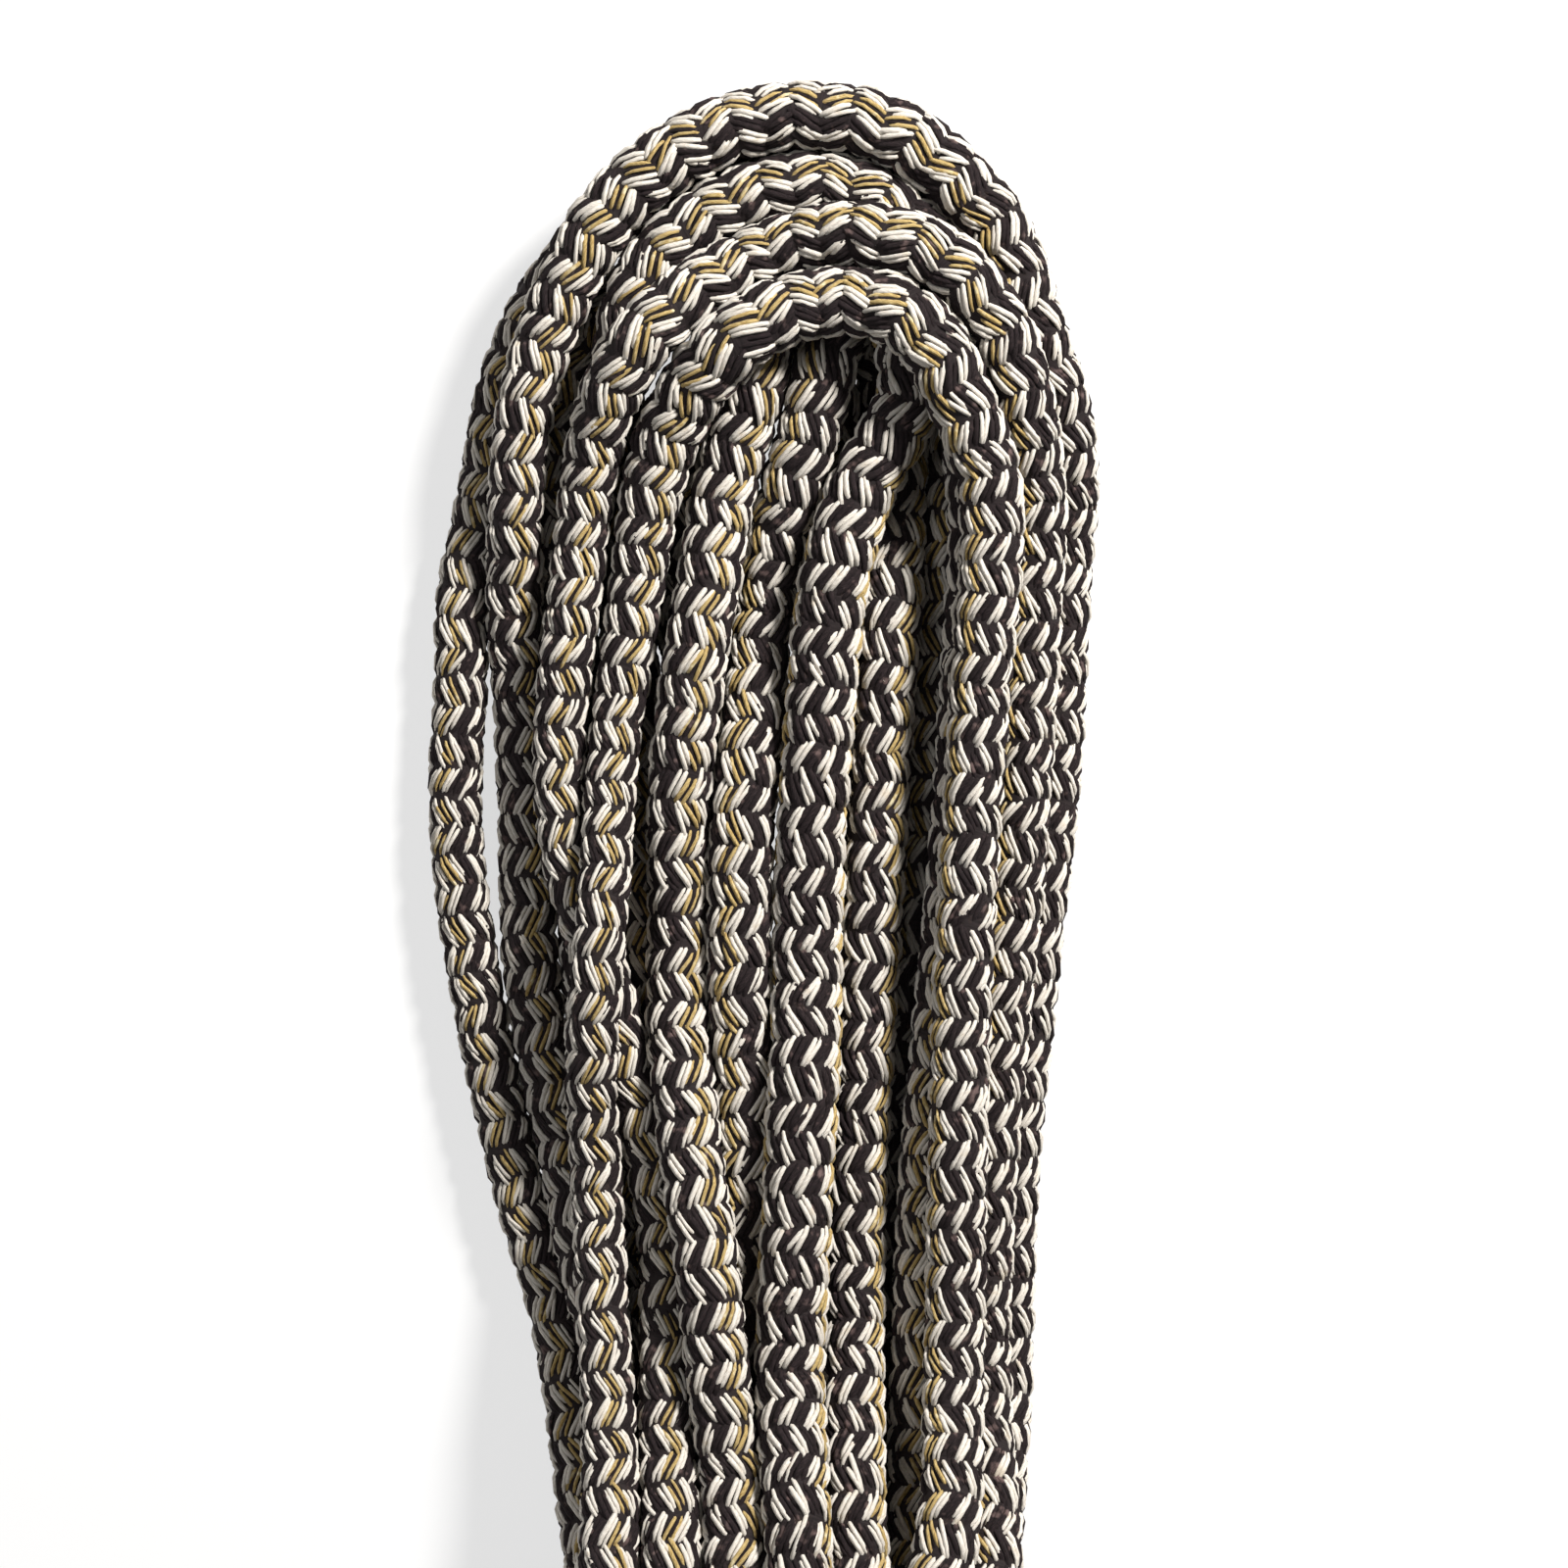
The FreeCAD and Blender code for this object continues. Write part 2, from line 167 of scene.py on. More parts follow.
# Where each turn's legs lie in the neck, as across and height, left leg first.
NECK = [
    ((-26.3, 18.4), (27.3, 18.0)),
    ((-26.3, 30.5), (35.0, 31.0)),
    ((-15.3, 18.0), (16.7, 18.0)),
    ((-14.5, 30.5), (24.0, 30.5)),
    ((-15.3, 43.0), (38.0, 43.0)),
    ((-4.7, 18.0), (6.0, 18.0)),
    ((-4.7, 43.0), (6.0, 43.0)),
    ((-3.0, 30.5), (16.7, 43.0)),
    ((-26.3, 43.0), (27.3, 43.0)),
]
NECK_Y = (-8.0, -24.0, -40.0)

# A leg's own thickness comes in over LEG_FADE from the neck up, and the top's over TOP_FADE, from
# TOP_REACH below the top.
LEG_FADE = 50
TOP_REACH = 55
TOP_FADE = 40

# The short bights, from each turn's right leg to the next one's left leg: how far each stands out to
# the right and to the left, where it ends, and its height.
SHORT_BIGHTS = [
    (38.0, -34.0, -134, 17),
    (39.0, -35.0, -136, 6),
    (28.0, -24.0, -125, 6),
    (32.0, -28.0, -129, 27),
    (28.0, -24.0, -123, 17),
    (17.0, -13.0, -113, 6),
    (17.5, -13.5, -111, 17),
    (21.0, -17.0, -117, 27),
]
SHORT_BELLY_Y = -90.0
# Half way to its belly, a short bight has gone this share of its way out and down.
SHORT_LEAD_Y = -66.0
SHORT_LEAD_OUT = 0.4
SHORT_LEAD_DOWN = 0.6

# The frapping turns: the end of the last turn comes out on top of the neck, turns aside, and winds
# round it back towards the long bights. The last turn stops a few points short, where the end tucks under.
WRAP_HALF_WIDTH = 44.0
WRAP_LOW = 6.0
WRAP_HIGH = 55.0
WRAP_CORNER = 20.0
WRAP_MIDDLE = 6.0
WRAP_COUNT = 4
WRAP_POINTS_SHORT = 9
WRAP_CORNER_POINTS = 4
WRAP_FIRST_Y = -45.0
WRAP_LAST_Y = -6.0
WRAP_LEAD = [(27.3, -51, 44), (23.0, -61, 49), (12.0, -63, 54), (0.0, -56, 55), (-12.0, -49, 55)]
TUCK = [(38, -3.5, 7), (45, -3, 11.5), (48.5, -3.5, 19), (47, -7, 26.5), (43, -14, 29), (39.5, -23, 27.5)]
TUCK += [(38.3, -34, 26)]

# How many points lie between a shoulder and its top, on a long bight and on a short one.
LONG_QUARTER_POINTS = 3
SHORT_QUARTER_POINTS = 2


def quarter(side, top, count):
    """Points of a quarter of an ellipse from a shoulder towards a top, without its two ends."""
    centre = Vector((top[0], side[1], top[2]))
    out = Vector(side) - centre
    up = Vector(top) - centre
    angles = [math.pi / 2 * i / (count + 1) for i in range(1, count + 1)]
    return [centre + out * math.cos(a) + up * math.sin(a) for a in angles]


def turn_points(turn, neck):
    """One turn from below its left leg to below its right one."""
    left_neck, right_neck = neck
    points = [(left_neck[0], y, left_neck[1]) for y in reversed(NECK_Y)]
    points += [(x, y, z) for (x, z), y in zip(turn["left"], LEG_Y)]
    points += turn.get("left_more", [])
    points.append(turn["left_shoulder"])
    points += quarter(turn["left_shoulder"], turn["top"], LONG_QUARTER_POINTS)
    points.append(turn["top"])
    points += reversed(quarter(turn["right_shoulder"], turn["top"], LONG_QUARTER_POINTS))
    points.append(turn["right_shoulder"])
    points += turn.get("right_more", [])
    points += [(x, y, z) for (x, z), y in zip(reversed(turn["right"]), reversed(LEG_Y))]
    points += [(right_neck[0], y, right_neck[1]) for y in NECK_Y]
    return [(*point, thick) for point, thick in zip(points, turn_girth(turn, points))]


def turn_girth(turn, points):
    """How thick the rope is at a turn's points: it lies pressed in some places and fuller in others."""
    left, top, right = turn["girth"]
    side = [left] * (len(points) // 2) + [right] * (len(points) - len(points) // 2)
    girth = []
    for point, own in zip(points, side):
        leg_share = min(max(point[1] / LEG_FADE, 0), 1)
        top_share = min(max((point[1] - turn["top"][1] + TOP_REACH) / TOP_FADE, 0), 1)
        girth.append((1 + (own - 1) * leg_share) * (1 - top_share) + top * top_share)
    return girth


def short_lead(neck, side, height):
    """A short bight's point between its place in the neck and its side."""
    x = neck[0] * (1 - SHORT_LEAD_OUT) + side * SHORT_LEAD_OUT
    z = neck[1] * (1 - SHORT_LEAD_DOWN) + height * SHORT_LEAD_DOWN
    return (x, SHORT_LEAD_Y, z)


def short_points(bight, start, end):
    """One short bight, between two places in the neck."""
    right, left, end_y, height = bight
    middle = ((right + left) / 2, end_y, height)
    right_side = (right, SHORT_BELLY_Y, height)
    left_side = (left, SHORT_BELLY_Y, height)
    points = [short_lead(start, right, height), right_side]
    points += quarter(right_side, middle, SHORT_QUARTER_POINTS)
    points.append(middle)
    points += reversed(quarter(left_side, middle, SHORT_QUARTER_POINTS))
    points += [left_side, short_lead(end, left, height)]
    return [(*point, 1.0) for point in points]


def wrap_section():
    """The section of the frapping turns: a rounded rectangle, from its top left corner round to its top."""
    half_flat = WRAP_HALF_WIDTH - WRAP_CORNER
    half_tall = (WRAP_HIGH - WRAP_LOW) / 2 - WRAP_CORNER
    middle_z = (WRAP_HIGH + WRAP_LOW) / 2
    section = []
    # the corners, anticlockwise as seen from the short bights
    for corner, (right, up) in enumerate(((-1, 1), (-1, -1), (1, -1), (1, 1))):
        x = WRAP_MIDDLE + half_flat * right
        z = middle_z + half_tall * up
        for step in range(WRAP_CORNER_POINTS):
            angle = math.radians(90 * (1 + corner) + 90 / (WRAP_CORNER_POINTS - 1) * step)
            section.append((x + WRAP_CORNER * math.cos(angle), z + WRAP_CORNER * math.sin(angle)))
        # two points along the bottom after the second corner, and two along the top after the last
        if right == up:
            for way in (right, -right):
                section.append((WRAP_MIDDLE + way * half_flat / 3, z + up * WRAP_CORNER))
    return section


def wrap_points():
    """The frapping turns: a helix round the neck."""
    section = wrap_section()
    count = len(section) * WRAP_COUNT - WRAP_POINTS_SHORT
    points = []
    for i in range(count):
        x, z = section[i % len(section)]
        y = WRAP_FIRST_Y + (WRAP_LAST_Y - WRAP_FIRST_Y) * i / (count - 1)
        points.append((x, y, z))
    return points


def whole_route():
    """The rope's points from the eye to the tail, in three lists: the eye's end, the hank, the tail."""
    eye = []
    for ahead, aside, z in EYE_LOOP:
        spot = CROTCH + HEADING * ahead + ASIDE * aside
        eye.append((spot.x, spot.y, z))
    first = [(*p, 1.0) for p in eye + EYE_LEG]
    points = []
    for number, (turn, neck) in enumerate(zip(TURNS, NECK)):
        points += turn_points(turn, neck)
        if number < len(SHORT_BIGHTS):
            points += short_points(SHORT_BIGHTS[number], neck[1], NECK[number + 1][0])
    points += [(*p, 1.0) for p in WRAP_LEAD + wrap_points() + TUCK]
    return first, points, [(*p, 1.0) for p in TAIL]


# ---------------------------------------------------------------- laying the rope down

# Still in millimetres: the distance between two points of the rope, between two touching stretches, and
# from the surface to a stretch that lies on it, and the radius of the tightest fold. The smooth curve
# that the points lie on is worked out at CURVE_POINTS places between two of the route's points.
STEP = 6.0
CONTACT = 11.6
FLOOR_Z = 6.0
MIN_BEND = 12.0
CURVE_POINTS = 12

# How strongly the rope moves in each round: it sinks, is drawn back towards where it was laid, and is
# straightened, and then, a few times over, it is pushed off itself and its folds and lengths are kept.
ROUNDS = 360
SINK = 0.12
DRAW_ACROSS = 0.1
DRAW_UP = 0.012
STRAIGHTEN = 0.35
PASSES = 3
PUSH = 1.4
OPEN_FOLD = 0.4
KEEP_LENGTH = 0.5

# The stretches that may touch are looked up again after some rounds, a little beyond touching distance,
# and neighbours along the rope don't count.
ROUNDS_PER_LOOK = 12
LOOK_BEYOND = 5
NEIGHBOURS = 4


def evenly(points, step):
    """Points a step apart on a smooth curve through some points."""
    p = np.array([tuple(v) for v in points], float)
    p = np.vstack([2 * p[0] - p[1], p, 2 * p[-1] - p[-2]])
    knots = np.concatenate([[0], np.cumsum(np.linalg.norm(np.diff(p, axis=0), axis=1) ** 0.5)])
    curve = []
    for i in range(1, len(p) - 2):
        t0, t1, t2, t3 = knots[i - 1 : i + 3]
        t = np.linspace(t1, t2, CURVE_POINTS, endpoint=False)[:, None]
        a1 = (t1 - t) / (t1 - t0) * p[i - 1] + (t - t0) / (t1 - t0) * p[i]
        a2 = (t2 - t) / (t2 - t1) * p[i] + (t - t1) / (t2 - t1) * p[i + 1]
        a3 = (t3 - t) / (t3 - t2) * p[i + 1] + (t - t2) / (t3 - t2) * p[i + 2]
        b1 = (t2 - t) / (t2 - t0) * a1 + (t - t0) / (t2 - t0) * a2
        b2 = (t3 - t) / (t3 - t1) * a2 + (t - t1) / (t3 - t1) * a3
        curve.append((t2 - t) / (t2 - t1) * b1 + (t - t1) / (t2 - t1) * b2)
    curve = np.vstack(curve + [p[-2][None]])
    along = np.concatenate([[0], np.cumsum(np.linalg.norm(np.diff(curve, axis=0), axis=1))])
    wanted = np.linspace(0, along[-1], int(round(along[-1] / step)) + 1)
    return np.stack([np.interp(wanted, along, curve[:, k]) for k in range(4)], axis=1)


def close_pairs(p, reach, apart):
    """Pairs of points nearer than reach each way, and at least so many points apart along the rope."""
    first, second = [], []
    for i in range(len(p) - apart):
        gap = np.abs(p[i + apart :] - p[i])
        near = np.nonzero((gap < reach).all(axis=1))[0] + i + apart
        first.append(np.full(len(near), i))
        second.append(near)
    return np.concatenate(first), np.concatenate(second)


def straighten(p):
    """Moves each point towards a smooth line through its neighbours."""
    bend = np.zeros_like(p)
    bend[2:-2] = (p[1:-3] + p[3:-1]) * 2 / 3 - (p[:-4] + p[4:]) / 6 - p[2:-2]
    p += STRAIGHTEN * bend


def push_apart(p, first, second, touching):
    """Moves pairs of points that are nearer than touching distance off each other."""
    push = np.zeros_like(p)
    count = np.ones(len(p))
    gap = p[second] - p[first]
    far = np.linalg.norm(gap, axis=1)
    touch = far < touching
    move = gap[touch] * ((touching[touch] / np.maximum(far[touch], 1) - 1) / 2)[:, None]
    np.add.at(push, second[touch], move)
    np.add.at(push, first[touch], -move)
    np.add.at(count, second[touch], 1)
    np.add.at(count, first[touch], 1)
    p += PUSH * push / np.maximum(count - 1, 1)[:, None]


def open_folds(p):
    """Opens each fold that is tighter than the rope can bend."""
    chord = 2 * MIN_BEND * np.sin(STEP / MIN_BEND)
    over = p[2:] - p[:-2]
    short = np.maximum(chord / np.linalg.norm(over, axis=1) - 1, 0)[:, None] * over / 2
    p[2:] += OPEN_FOLD * short
    p[:-2] -= OPEN_FOLD * short


def keep_length(p, rest):
    """Draws neighbours back towards their distance along the rope."""
    run = np.diff(p, axis=0)
    stretch = run * (1 - rest / np.linalg.norm(run, axis=1)[:, None]) / 2
    p[:-1] += KEEP_LENGTH * stretch
    p[1:] -= KEEP_LENGTH * stretch


def settle(p, girth, still):
    """Lets the rope sink onto the surface and onto itself, near where it was laid. Some points stay."""
    home = p.copy()
    rest = np.linalg.norm(np.diff(p, axis=0), axis=1)[:, None]
    for number in range(ROUNDS):
        if number % ROUNDS_PER_LOOK == 0:
            first, second = close_pairs(p, CONTACT + LOOK_BEYOND, NEIGHBOURS)
            touching = CONTACT * (girth[first] + girth[second]) / 2
        p[:, 2] -= SINK
        p[:, :2] += DRAW_ACROSS * (home - p)[:, :2]
        p[:, 2] += DRAW_UP * (home - p)[:, 2]
        straighten(p)
        for _ in range(PASSES):
            push_apart(p, first, second, touching)
            open_folds(p)
            keep_length(p, rest)
            p[:, 2] = np.maximum(p[:, 2], FLOOR_Z * girth)
            p[still] = home[still]
    return p


def laid_route():
    """The control points of the whole rope, and its girth at each. The ends' points stay as chosen."""
    first, turns, last = whole_route()
    before, after = evenly(first, STEP), evenly(last, STEP)
    coil = evenly([first[-1]] + turns + [last[0]], STEP)[1:-1]
    everything = np.vstack([before, coil, after])
    still = np.ones(len(everything), bool)
    still[len(before) : len(before) + len(coil)] = False
    settled = settle(everything[:, :3].copy(), everything[:, 3], still)[~still]
    ends = [np.array(first), np.array(last)]
    points = np.vstack([ends[0][:, :3], settled, ends[1][:, :3]])
    girth = np.concatenate([ends[0][:, 3], coil[:, 3], ends[1][:, 3]])
    return points, girth


# ---------------------------------------------------------------- meshes and objects


def new_mesh(name, vertices, quads, ends):
    """A smooth mesh of quads and end faces, all given as arrays."""
    mesh = bpy.data.meshes.new(name)
    loops = np.concatenate([quads.ravel(), ends.ravel()])
    totals = np.concatenate([np.full(len(faces), faces.shape[1]) for faces in (quads, ends)])
    mesh.vertices.add(len(vertices))
    mesh.vertices.foreach_set("co", np.ascontiguousarray(vertices, np.float32).ravel())
    mesh.loops.add(len(loops))
    mesh.loops.foreach_set("vertex_index", loops.astype(np.int32))
    mesh.polygons.add(len(totals))
    mesh.polygons.foreach_set("loop_start", (np.cumsum(totals) - totals).astype(np.int32))
    mesh.polygons.foreach_set("use_smooth", np.ones(len(totals), bool))
    mesh.update(calc_edges=True)
    return mesh


def place(name, mesh, materials):
    """An object of a mesh and its materials, which rides on the part's one body."""
    for material in materials:
        mesh.materials.append(material)
    made = bpy.data.objects.new(name, mesh)
    bpy.context.scene.collection.objects.link(made)
    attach(made, "root")
    return made


def keep_yarn(mesh, run, angle):
    """Keeps on a mesh its yarn coordinates: along each yarn in millimetres, and across it."""
    yarn = np.zeros((*run.shape, len(angle), 3))
    yarn[..., 0] = run[..., None]
    yarn[..., 1] = np.cos(angle)
    yarn[..., 2] = np.sin(angle)
    layer = mesh.attributes.new("yarn", "FLOAT_VECTOR", "POINT")
    layer.data.foreach_set("vector", yarn.reshape(-1).astype(np.float32))


def tube_faces(tubes, rings, sides):
    """Quads of equal tubes whose vertices are numbered tube by tube and ring by ring, and their ends."""
    ring = np.arange(rings - 1)[:, None] * sides
    side = np.arange(sides)[None, :]
    after = (side + 1) % sides
    one = np.stack([ring + side, ring + after, ring + sides + after, ring + sides + side], axis=-1)
    base = np.arange(tubes)[:, None, None] * rings * sides
    quads = (base + one.reshape(1, -1, 4)).reshape(-1, 4)
    low_end = np.arange(sides)[::-1]
    high_end = np.arange(sides) + (rings - 1) * sides
    ends = (base + np.stack([low_end, high_end])[None]).reshape(-1, sides)
    return quads, ends


# ---------------------------------------------------------------- the rope's centreline

SPLINE_RESOLUTION = 6
LINE_SPACING = 1 * MM
# The first axis across a path is square to its start and to one of these.
UPRIGHT = (0, 0, 1.0)
LEANING = (0.3, 0.2, 1.0)


def spline_points(name, control):
    """The points of the smooth curve that a route's control points give, in metres."""
    curve = bpy.data.curves.new(name, "CURVE")
    curve.dimensions = "3D"
    curve.resolution_u = SPLINE_RESOLUTION
    spline = curve.splines.new("NURBS")
    spline.points.add(len(control) - 1)
    for point, spot in zip(spline.points, control):
        point.co = (*[c * MM for c in spot], 1)
    spline.order_u = 3
    spline.use_endpoint_u = True
    holder = bpy.data.objects.new(name, curve)
    bpy.context.scene.collection.objects.link(holder)
    graph = bpy.context.evaluated_depsgraph_get()
    mesh = bpy.data.meshes.new_from_object(holder.evaluated_get(graph))
    points = np.array([tuple(v.co) for v in mesh.vertices])
    bpy.data.objects.remove(holder)
    bpy.data.curves.remove(curve)
    bpy.data.meshes.remove(mesh)
    return points


def across_path(ahead, upward):
    """Two axes across each direction of a path, which don't twist along it."""
    first = np.cross(ahead[0], upward)
    axes = [first / np.linalg.norm(first)]
    for direction in ahead[1:]:
        kept = axes[-1] - direction * np.dot(axes[-1], direction)
        axes.append(kept / np.linalg.norm(kept))
    axes = np.array(axes)
    return axes, np.cross(ahead, axes)


class Line:
    """A centreline read at any distance along it, with a pair of axes across it that never twist."""

    def __init__(self, points, control, girth):
        along = np.concatenate([[0], np.cumsum(np.linalg.norm(np.diff(points, axis=0), axis=1))])
        self.length = along[-1]
        count = int(self.length / LINE_SPACING) + 1
        self.distance = np.linspace(0, self.length, count)
        self.place = np.stack([np.interp(self.distance, along, points[:, k]) for k in range(3)], axis=1)
        self.ahead = np.gradient(self.place, self.distance, axis=0)
        self.ahead /= np.linalg.norm(self.ahead, axis=1)[:, None]
        self.across, self.over = across_path(self.ahead, UPRIGHT)
        steps = np.concatenate([[0], np.cumsum(np.linalg.norm(np.diff(control, axis=0), axis=1))])
        self.girth = np.interp(self.distance, steps / steps[-1] * self.length, girth)

    def up_hill(self, s):
        """How much the rope heads towards the long bights' tops, from -1 to 1, at an array of distances."""
        return np.interp(s, self.distance, self.ahead[:, 1])

    def thick(self, s):
        """How thick the rope is at an array of distances, as a share of its full thickness."""
        return np.interp(s, self.distance, self.girth)

    def at(self, s):
        """Places and the two axes across, for an array of distances."""
        # the last place stays just short of the last point, so that each has a point after it
        i = np.clip(s / self.length * (len(self.distance) - 1), 0, len(self.distance) - 1.001)
        before = i.astype(int)
        part = (i - before)[..., None]
        axes = (self.place, self.across, self.over)
        return [v[before] * (1 - part) + v[before + 1] * part for v in axes]


# ---------------------------------------------------------------- the braid

# The cover shows sixteen columns of floats round the rope. Each float is two or three plies side by
# side, which lean one way in one ring and the other way in the next, two rings to a period. Every second
# ring is shifted round a little: one way where the rope goes up a leg, the other way where it comes down.
COLUMNS = 16
PERIOD = 10.6 * MM
HALF_PERIOD = PERIOD / 2
LEAN = math.radians(29)
SHIFT = math.radians(13)
WHITE, BLACK, GOLD = 0, 1, 2
COLOURS = np.array([WHITE, BLACK, WHITE, GOLD, WHITE, BLACK, WHITE, BLACK] * 2)

# The bare core under the cover, near black as painted shade in the gaps between the plies. A ply's middle
# lies PLY_LIFT from the rope's, and dips towards its ends, the more steeply the greater the power.
CORE_RADIUS = 5.2 * MM
PLY_LIFT = 5.5 * MM
PLY_DIP = 0.9 * MM
PLY_DIP_POWER = 3
PLY_FLATNESS = 0.85

# A ply is a tube with this many sides, and its rings lie at these shares of its half length and width.
PLY_SIDES = 5
PLY_RING_AT = np.array([-1.0, -0.86, -0.4, 0.4, 0.86, 1.0])
PLY_RING_WIDE = np.array([0.42, 0.88, 1.0, 1.0, 0.88, 0.42])
PLY_RINGS = len(PLY_RING_AT)
PLY_ANGLE = np.arange(PLY_SIDES) / PLY_SIDES * FULL_TURN + math.pi / 2

# Of each ply in a float: its place across the float, its half width, its half length, how far it is
# moved along, its height over the others, all in millimetres, and its colour.
PLIES = {
    WHITE: ((-0.43, 0.47, 3.4, 0.0, 0.05, WHITE), (0.45, 0.45, 2.9, 0.4, 0.0, WHITE)),
    BLACK: (
        (-0.92, 0.5, 3.1, -0.2, -0.22, BLACK),
        (0.0, 0.54, 3.5, 0.0, -0.14, BLACK),
        (0.92, 0.5, 3.1, 0.2, -0.22, BLACK),
    ),
    GOLD: (
        (-0.66, 0.38, 2.9, -0.3, -0.02, GOLD),
        (-0.02, 0.4, 3.4, 0.0, -0.3, BLACK),
        (0.62, 0.36, 3.1, 0.3, 0.0, GOLD),
    ),
}

# How unevenly the cover is laid: a float's place along and round the rope, and of a ply its place across
# the float, its width and length, its place along, its height and its lean.
FLOAT_STRAY = 0.28 * MM
FLOAT_STRAY_ROUND = math.radians(2.2)
ACROSS_VARIES = 0.1
WIDTH_VARIES = 0.1
LENGTH_VARIES = 0.09
PLY_STRAY = 0.3 * MM
HEIGHT_STRAY = 0.1 * MM
LEAN_VARIES = 0.14

# Each ply starts at its own place along the pattern of fibres, so that no two look the same.
YARN_STARTS = 4000
YARN_START_STEP = 10.0


def lay_floats(line, start, end, random, twist):
    """The cover's floats: how far along and round the rope each lies, its lean and its colour."""
    count = int(round((end - start) / HALF_PERIOD))
    ring = np.arange(count)
    ring_s = start + (ring + 0.5) * HALF_PERIOD
    first_ring = int(round(start / HALF_PERIOD))
    way = np.where((ring + first_ring) % 2 == 0, 1.0, -1.0)
    s = np.repeat(ring_s, COLUMNS)
    lean = np.repeat(way, COLUMNS)
    column = np.tile(np.arange(COLUMNS), count)
    theta = column * FULL_TURN / COLUMNS + np.where(lean > 0, 0, SHIFT * line.up_hill(s)) + twist(s)
    s = s + random.normal(0, FLOAT_STRAY, len(s))
    theta = theta + random.normal(0, FLOAT_STRAY_ROUND, len(s))
    return s, theta, lean, COLOURS[column]


def ply_rows(colour):
    """For each ply of some floats: the float's number, and then the ply's own values."""
    rows = []
    for kind, pattern in PLIES.items():
        here = np.nonzero(colour == kind)[0]
        for ply in pattern:
            rows.append(np.column_stack([here, np.tile(ply, (len(here), 1))]))
    return np.concatenate(rows)


def ply_tubes(middle, out, wide):
    """The tubes round the plies' middles: flattened, and rounded off towards their ends."""
    forward = np.gradient(middle, axis=1)
    forward /= np.linalg.norm(forward, axis=2)[..., None]
    sideways = np.cross(forward, out)
    sideways /= np.linalg.norm(sideways, axis=2)[..., None]
    normal = np.cross(sideways, forward)
    thick = wide[:, None] * PLY_RING_WIDE[None, :]
    spread = sideways[:, :, None] * np.cos(PLY_ANGLE)[None, None, :, None]
    spread = spread + normal[:, :, None] * (PLY_FLATNESS * np.sin(PLY_ANGLE))[None, None, :, None]
    return middle[:, :, None] + spread * thick[:, :, None, None]


def round_rope(along):
    """The cover's shape on the rope itself: round."""
    return 1.0, 1.0


def braid(line, start, end, seed, twist, shape=round_rope):
    """The plies between two distances along a line: vertices, colours and distances along the yarns."""
    random = np.random.default_rng(seed)
    s, theta, lean, float_colour = lay_floats(line, start, end, random, twist)
    which, across_float, half_wide, half_long, along_float, height, colour = ply_rows(float_colour).T
    which = which.astype(int)
    n = len(which)
    fat = line.thick(s[which])
    offset = across_float * MM * fat * random.normal(1, ACROSS_VARIES, n)
    wide = half_wide * MM * fat * random.normal(1, WIDTH_VARIES, n)
    half = half_long * MM * random.normal(1, LENGTH_VARIES, n)
    moved = along_float * MM + random.normal(0, PLY_STRAY, n)
    lift = (PLY_LIFT + height * MM + random.normal(0, HEIGHT_STRAY, n)) * fat
    lean_angle = LEAN * random.normal(1, LEAN_VARIES, n)
    run = half[:, None] * PLY_RING_AT[None, :] + moved[:, None]
    turned = lean[which, None] * np.sin(lean_angle)[:, None]
    straight = np.cos(lean_angle)[:, None]
    along = s[which, None] + run * straight - offset[:, None] * turned
    round_it = theta[which, None] + (run * turned + offset[:, None] * straight) / lift[:, None]
    radius = lift[:, None] - PLY_DIP * np.abs(PLY_RING_AT[None, :]) ** PLY_DIP_POWER
    centre, across, over = line.at(np.clip(along, 0, line.length))
    out = np.cos(round_it)[..., None] * across + np.sin(round_it)[..., None] * over
    wider, taller = shape(along)
    reach_across = (np.cos(round_it) * wider)[..., None] * across
    reach_over = (np.sin(round_it) * taller)[..., None] * over
    middle = centre + radius[..., None] * (reach_across + reach_over)
    yarn_start = random.integers(0, YARN_STARTS, n) * YARN_START_STEP
    return ply_tubes(middle, out, wide), colour.astype(int), run / MM + yarn_start[:, None]


def ply_mesh(name, vertices, colour, run):
    """One mesh of plies, with each face's colour as its material and the yarn coordinates kept."""
    n = len(vertices)
    quads, ends = tube_faces(n, PLY_RINGS, PLY_SIDES)
    mesh = new_mesh(name, vertices.reshape(-1, 3), quads, ends)
    per_tube = (PLY_RINGS - 1) * PLY_SIDES
    index = np.concatenate([np.repeat(colour, per_tube), np.repeat(colour, 2)])
    mesh.polygons.foreach_set("material_index", index.astype(np.int32))
    keep_yarn(mesh, run, PLY_ANGLE)
    return mesh


# ---------------------------------------------------------------- materials

# The fibres of a yarn: how far they turn round it in a millimetre, in radians, how their streaks are
# drawn out along it, and the streaks themselves.
FIBRE_TURN = 0.9
FIBRE_STRETCH = (0.55, 2.1, 2.1)
STREAK_SCALE = 1.9
STREAK_DETAIL = 4.0
STREAK_ROUGHNESS = 0.62
STREAK_EDGES = (0.32, 0.66)
# Where the stray fibres of another shade show.
FLECK_SCALE = 420.0
FLECK_DETAIL = 2.0
FLECK_EDGES = (0.6, 0.75)
# The roughness in the streaks' hollows and on their tops.
FIBRE_ROUGHNESS = (0.95, 0.72)


def link(tree, source, target):
    """Joins one node's output to another's input."""
    tree.links.new(source, target)


def between(tree, value, side, limits):
    """A value mapped from limits to 0 and 1, or from 0 and 1 to limits, as side says From or To."""
    mapped = tree.nodes.new("ShaderNodeMapRange")
    mapped.inputs[side + " Min"].default_value = limits[0]
    mapped.inputs[side + " Max"].default_value = limits[1]
    link(tree, value, mapped.inputs["Value"])
    return mapped.outputs[0]


